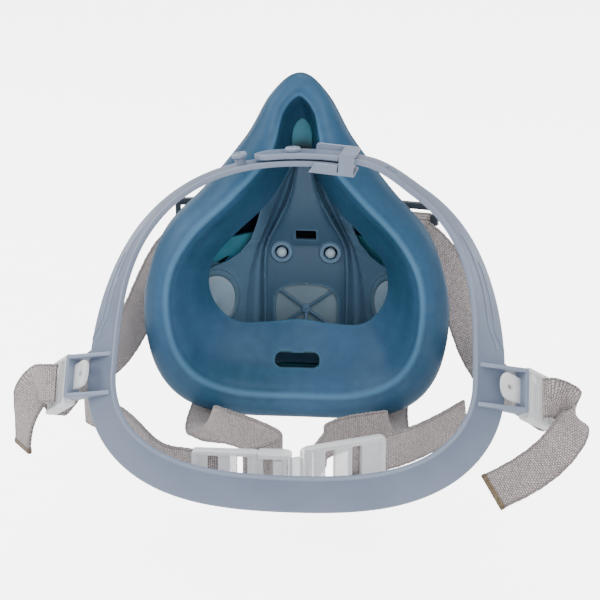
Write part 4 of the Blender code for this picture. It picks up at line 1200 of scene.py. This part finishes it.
def make_clasps():
    pivot, _ = joint("clasp_turn")
    tall, first = 8.5, 7.4
    for side, name in SIDES[::-1]:
        length, body = CLASPS[side]
        away, across = clasp_axes(side)
        axes = (away, Z, np.cross(away, Z))
        middles = (15, 26) if side < 0 else (19, 30)
        slots = [box_outline(at - 2.0, at + 2.0, -tall + 2.2, tall - 2.2, 0.8) for at in middles]
        frame_outline = box_outline(first, length, -tall, tall, 1.6)
        parts = [plate(f"half_{name}", frame_outline, 2.8, pivot, axes, CLEAR, slots, 0.5)]
        for end in (-1, 1):
            edge = pivot + Z * end * (tall - 0.8)
            start, stop = edge + away * (first + 2), edge + away * (length - 0.5)
            parts.append(bar(f"flange_{name}_{end}", start, stop, Z, 4.6, 1.5, CLEAR, 0.4))
        for k, at in enumerate((first + 3.0, length - 1.6)):
            rib = pivot + away * at
            start, stop = rib - Z * 7.5, rib + Z * 7.5
            parts.append(bar(f"clasp_rib_{name}_{k}", start, stop, across, 1.6, 4.2, CLEAR, 0.4))
        if side < 0:
            parts.append(lathe("pin", [(0.1, -8.0), (1.5, -7.9), (1.5, 7.9), (0.1, 8.0)], pivot, Z, CLEAR))
            for end in (-1, 1):
                lug = arc(3.6, 20, -math.pi / 2, math.pi) + [(-9.0, 3.2), (-9.0, -3.2)]
                lug = [(-u, v) for u, v in lug][::-1]
                at = pivot + Z * end * 7.4
                parts.append(plate(f"lug_{end}", lug, 1.9, at, (away, across, Z), CLEAR, bevel=0.4))
        else:
            hook = arc(3.7, 24, math.radians(-35), math.radians(280))
            hook += arc(2.1, 24, math.radians(245), math.radians(-280))
            parts.append(plate("barrel", hook, 11.2, pivot, (away, across, Z), CLEAR, bevel=0.3))
            neck = pivot + away * 5.6
            parts.append(bar("clasp_neck", neck - Z * 5.2, neck + Z * 5.2, across, 5.0, 2.4, CLEAR, 0.4))
        clasp = fuse(f"clasp_half_{name}", parts)
        carry(clasp, body, "clear_plastic", f"clasp_{name}")


# ---------------------------------------------------------------- carried-over parts


def dress_yoke():
    """The yoke keeps its CAD mesh, softened by modifiers, with its own finish."""
    node = frame["nodes"]["harness_yoke"]
    for place in node.material_slots:
        place.material = YOKE
    node.modifiers.new("smooth_faces", "NODES").node_group = smooth_faces()
    soft = node.modifiers.new("soft_edges", "BEVEL")
    soft.width = 0.0005
    soft.segments = 3
    soft.limit_method = "ANGLE"
    soft.angle_limit = math.radians(38)


def smooth_faces():
    group = bpy.data.node_groups.new("smooth_faces", "GeometryNodeTree")
    for way in ("INPUT", "OUTPUT"):
        group.interface.new_socket("Geometry", in_out=way, socket_type="NodeSocketGeometry")
    start = group.nodes.new("NodeGroupInput")
    smoothed = group.nodes.new("GeometryNodeSetShadeSmooth")
    end = group.nodes.new("NodeGroupOutput")
    group.links.new(start.outputs[0], smoothed.inputs["Geometry"])
    group.links.new(smoothed.outputs["Geometry"], end.inputs[0])
    return group


# ---------------------------------------------------------------- stage


# The stage is in metres. The floor is low enough for the neck straps to stay above it when folded down.
FLOOR_Z, FLOOR_HALF = -0.056, 6.0
# Floor and sky glow white for the camera, and light the mask far less.
FLOOR_GLOW, SKY_LIGHT, SKY_SEEN = 4.8, 0.72, 5.6
LIGHTS_AIM = Vector((0, -0.08, 0.05))
LIGHTS = (
    ("key", (-0.8, -0.35, 0.7), 5.2, 0.6), ("front", (0.25, -1.0, 0.45), 4.2, 0.6),
    ("top", (0.05, 0.1, 1.1), 6.0, 0.8),
    ("back_left", (-0.8, 0.6, 0.5), 3.4, 0.6), ("back_right", (0.9, 0.5, 0.5), 3.4, 0.6),
)
CAMERA_AIM, CAMERA_DISTANCE = Vector((0.0039, -0.090, 0.062)), 0.72
SENSOR_WIDTH, FOCAL_PIXELS, PHOTO_PIXELS = 36, 1859, 600


def make_stage():
    floor = bpy.data.meshes.new("floor")
    corners = [(FLOOR_HALF * a, FLOOR_HALF * b, FLOOR_Z) for a, b in ((-1, -1), (1, -1), (1, 1), (-1, 1))]
    floor.from_pydata(corners, [], [(0, 1, 2, 3)])
    look = Look("floor_white", (0.95, 0.95, 0.955), 0.7)
    grain = look.ramp(look.noise(18, 2), [(0.3, (0.93, 0.93, 0.935)), (0.7, (0.97, 0.97, 0.975))])
    look.feed("Base Color", grain)
    look.set("Emission Color", (1.0, 1.0, 1.0, 1))
    seen = look.node("ShaderNodeLightPath").outputs["Is Camera Ray"]
    look.feed("Emission Strength", look.maths("MULTIPLY", seen, FLOOR_GLOW))
    floor.materials.append(look.made)
    in_scene("floor", floor)
    world = bpy.data.worlds.new("studio")
    world.use_nodes = True
    sky = world.node_tree.nodes["Background"]
    sky.inputs["Color"].default_value = (1.0, 1.0, 1.0, 1)
    path = world.node_tree.nodes.new("ShaderNodeLightPath")
    share = world.node_tree.nodes.new("ShaderNodeMapRange")
    share.inputs["To Min"].default_value = SKY_LIGHT
    share.inputs["To Max"].default_value = SKY_SEEN
    world.node_tree.links.new(path.outputs["Is Camera Ray"], share.inputs["Value"])
    world.node_tree.links.new(share.outputs["Result"], sky.inputs["Strength"])
    bpy.context.scene.world = world
    for name, place, energy, size in LIGHTS:
        lamp = bpy.data.lights.new(name, "AREA")
        lamp.energy = energy
        lamp.size = size
        light = in_scene(name, lamp)
        light.location = place
        light.rotation_euler = (LIGHTS_AIM - Vector(place)).to_track_quat("-Z", "Y").to_euler()


def make_camera():
    turn, rise = math.radians(5), math.radians(18)
    back = Vector((math.sin(turn) * math.cos(rise), -math.cos(turn) * math.cos(rise), math.sin(rise)))
    lens = bpy.data.cameras.new("camera")
    lens.sensor_width = SENSOR_WIDTH
    lens.lens = SENSOR_WIDTH * FOCAL_PIXELS / PHOTO_PIXELS
    camera = in_scene("camera", lens)
    camera.location = CAMERA_AIM + back * CAMERA_DISTANCE
    camera.rotation_euler = (-back).to_track_quat("-Z", "Y").to_euler()
    bpy.context.scene.camera = camera


make_face_seal()
make_port_walls()
make_center_adapter()
make_studs()
make_ports()
make_exhalation_disc()
make_front_cover()
make_cradle()
make_tongue()
make_guide()
make_upper_straps()
make_neck_straps()
make_side_buckles()
make_clasps()
dress_yoke()
make_stage()
make_camera()
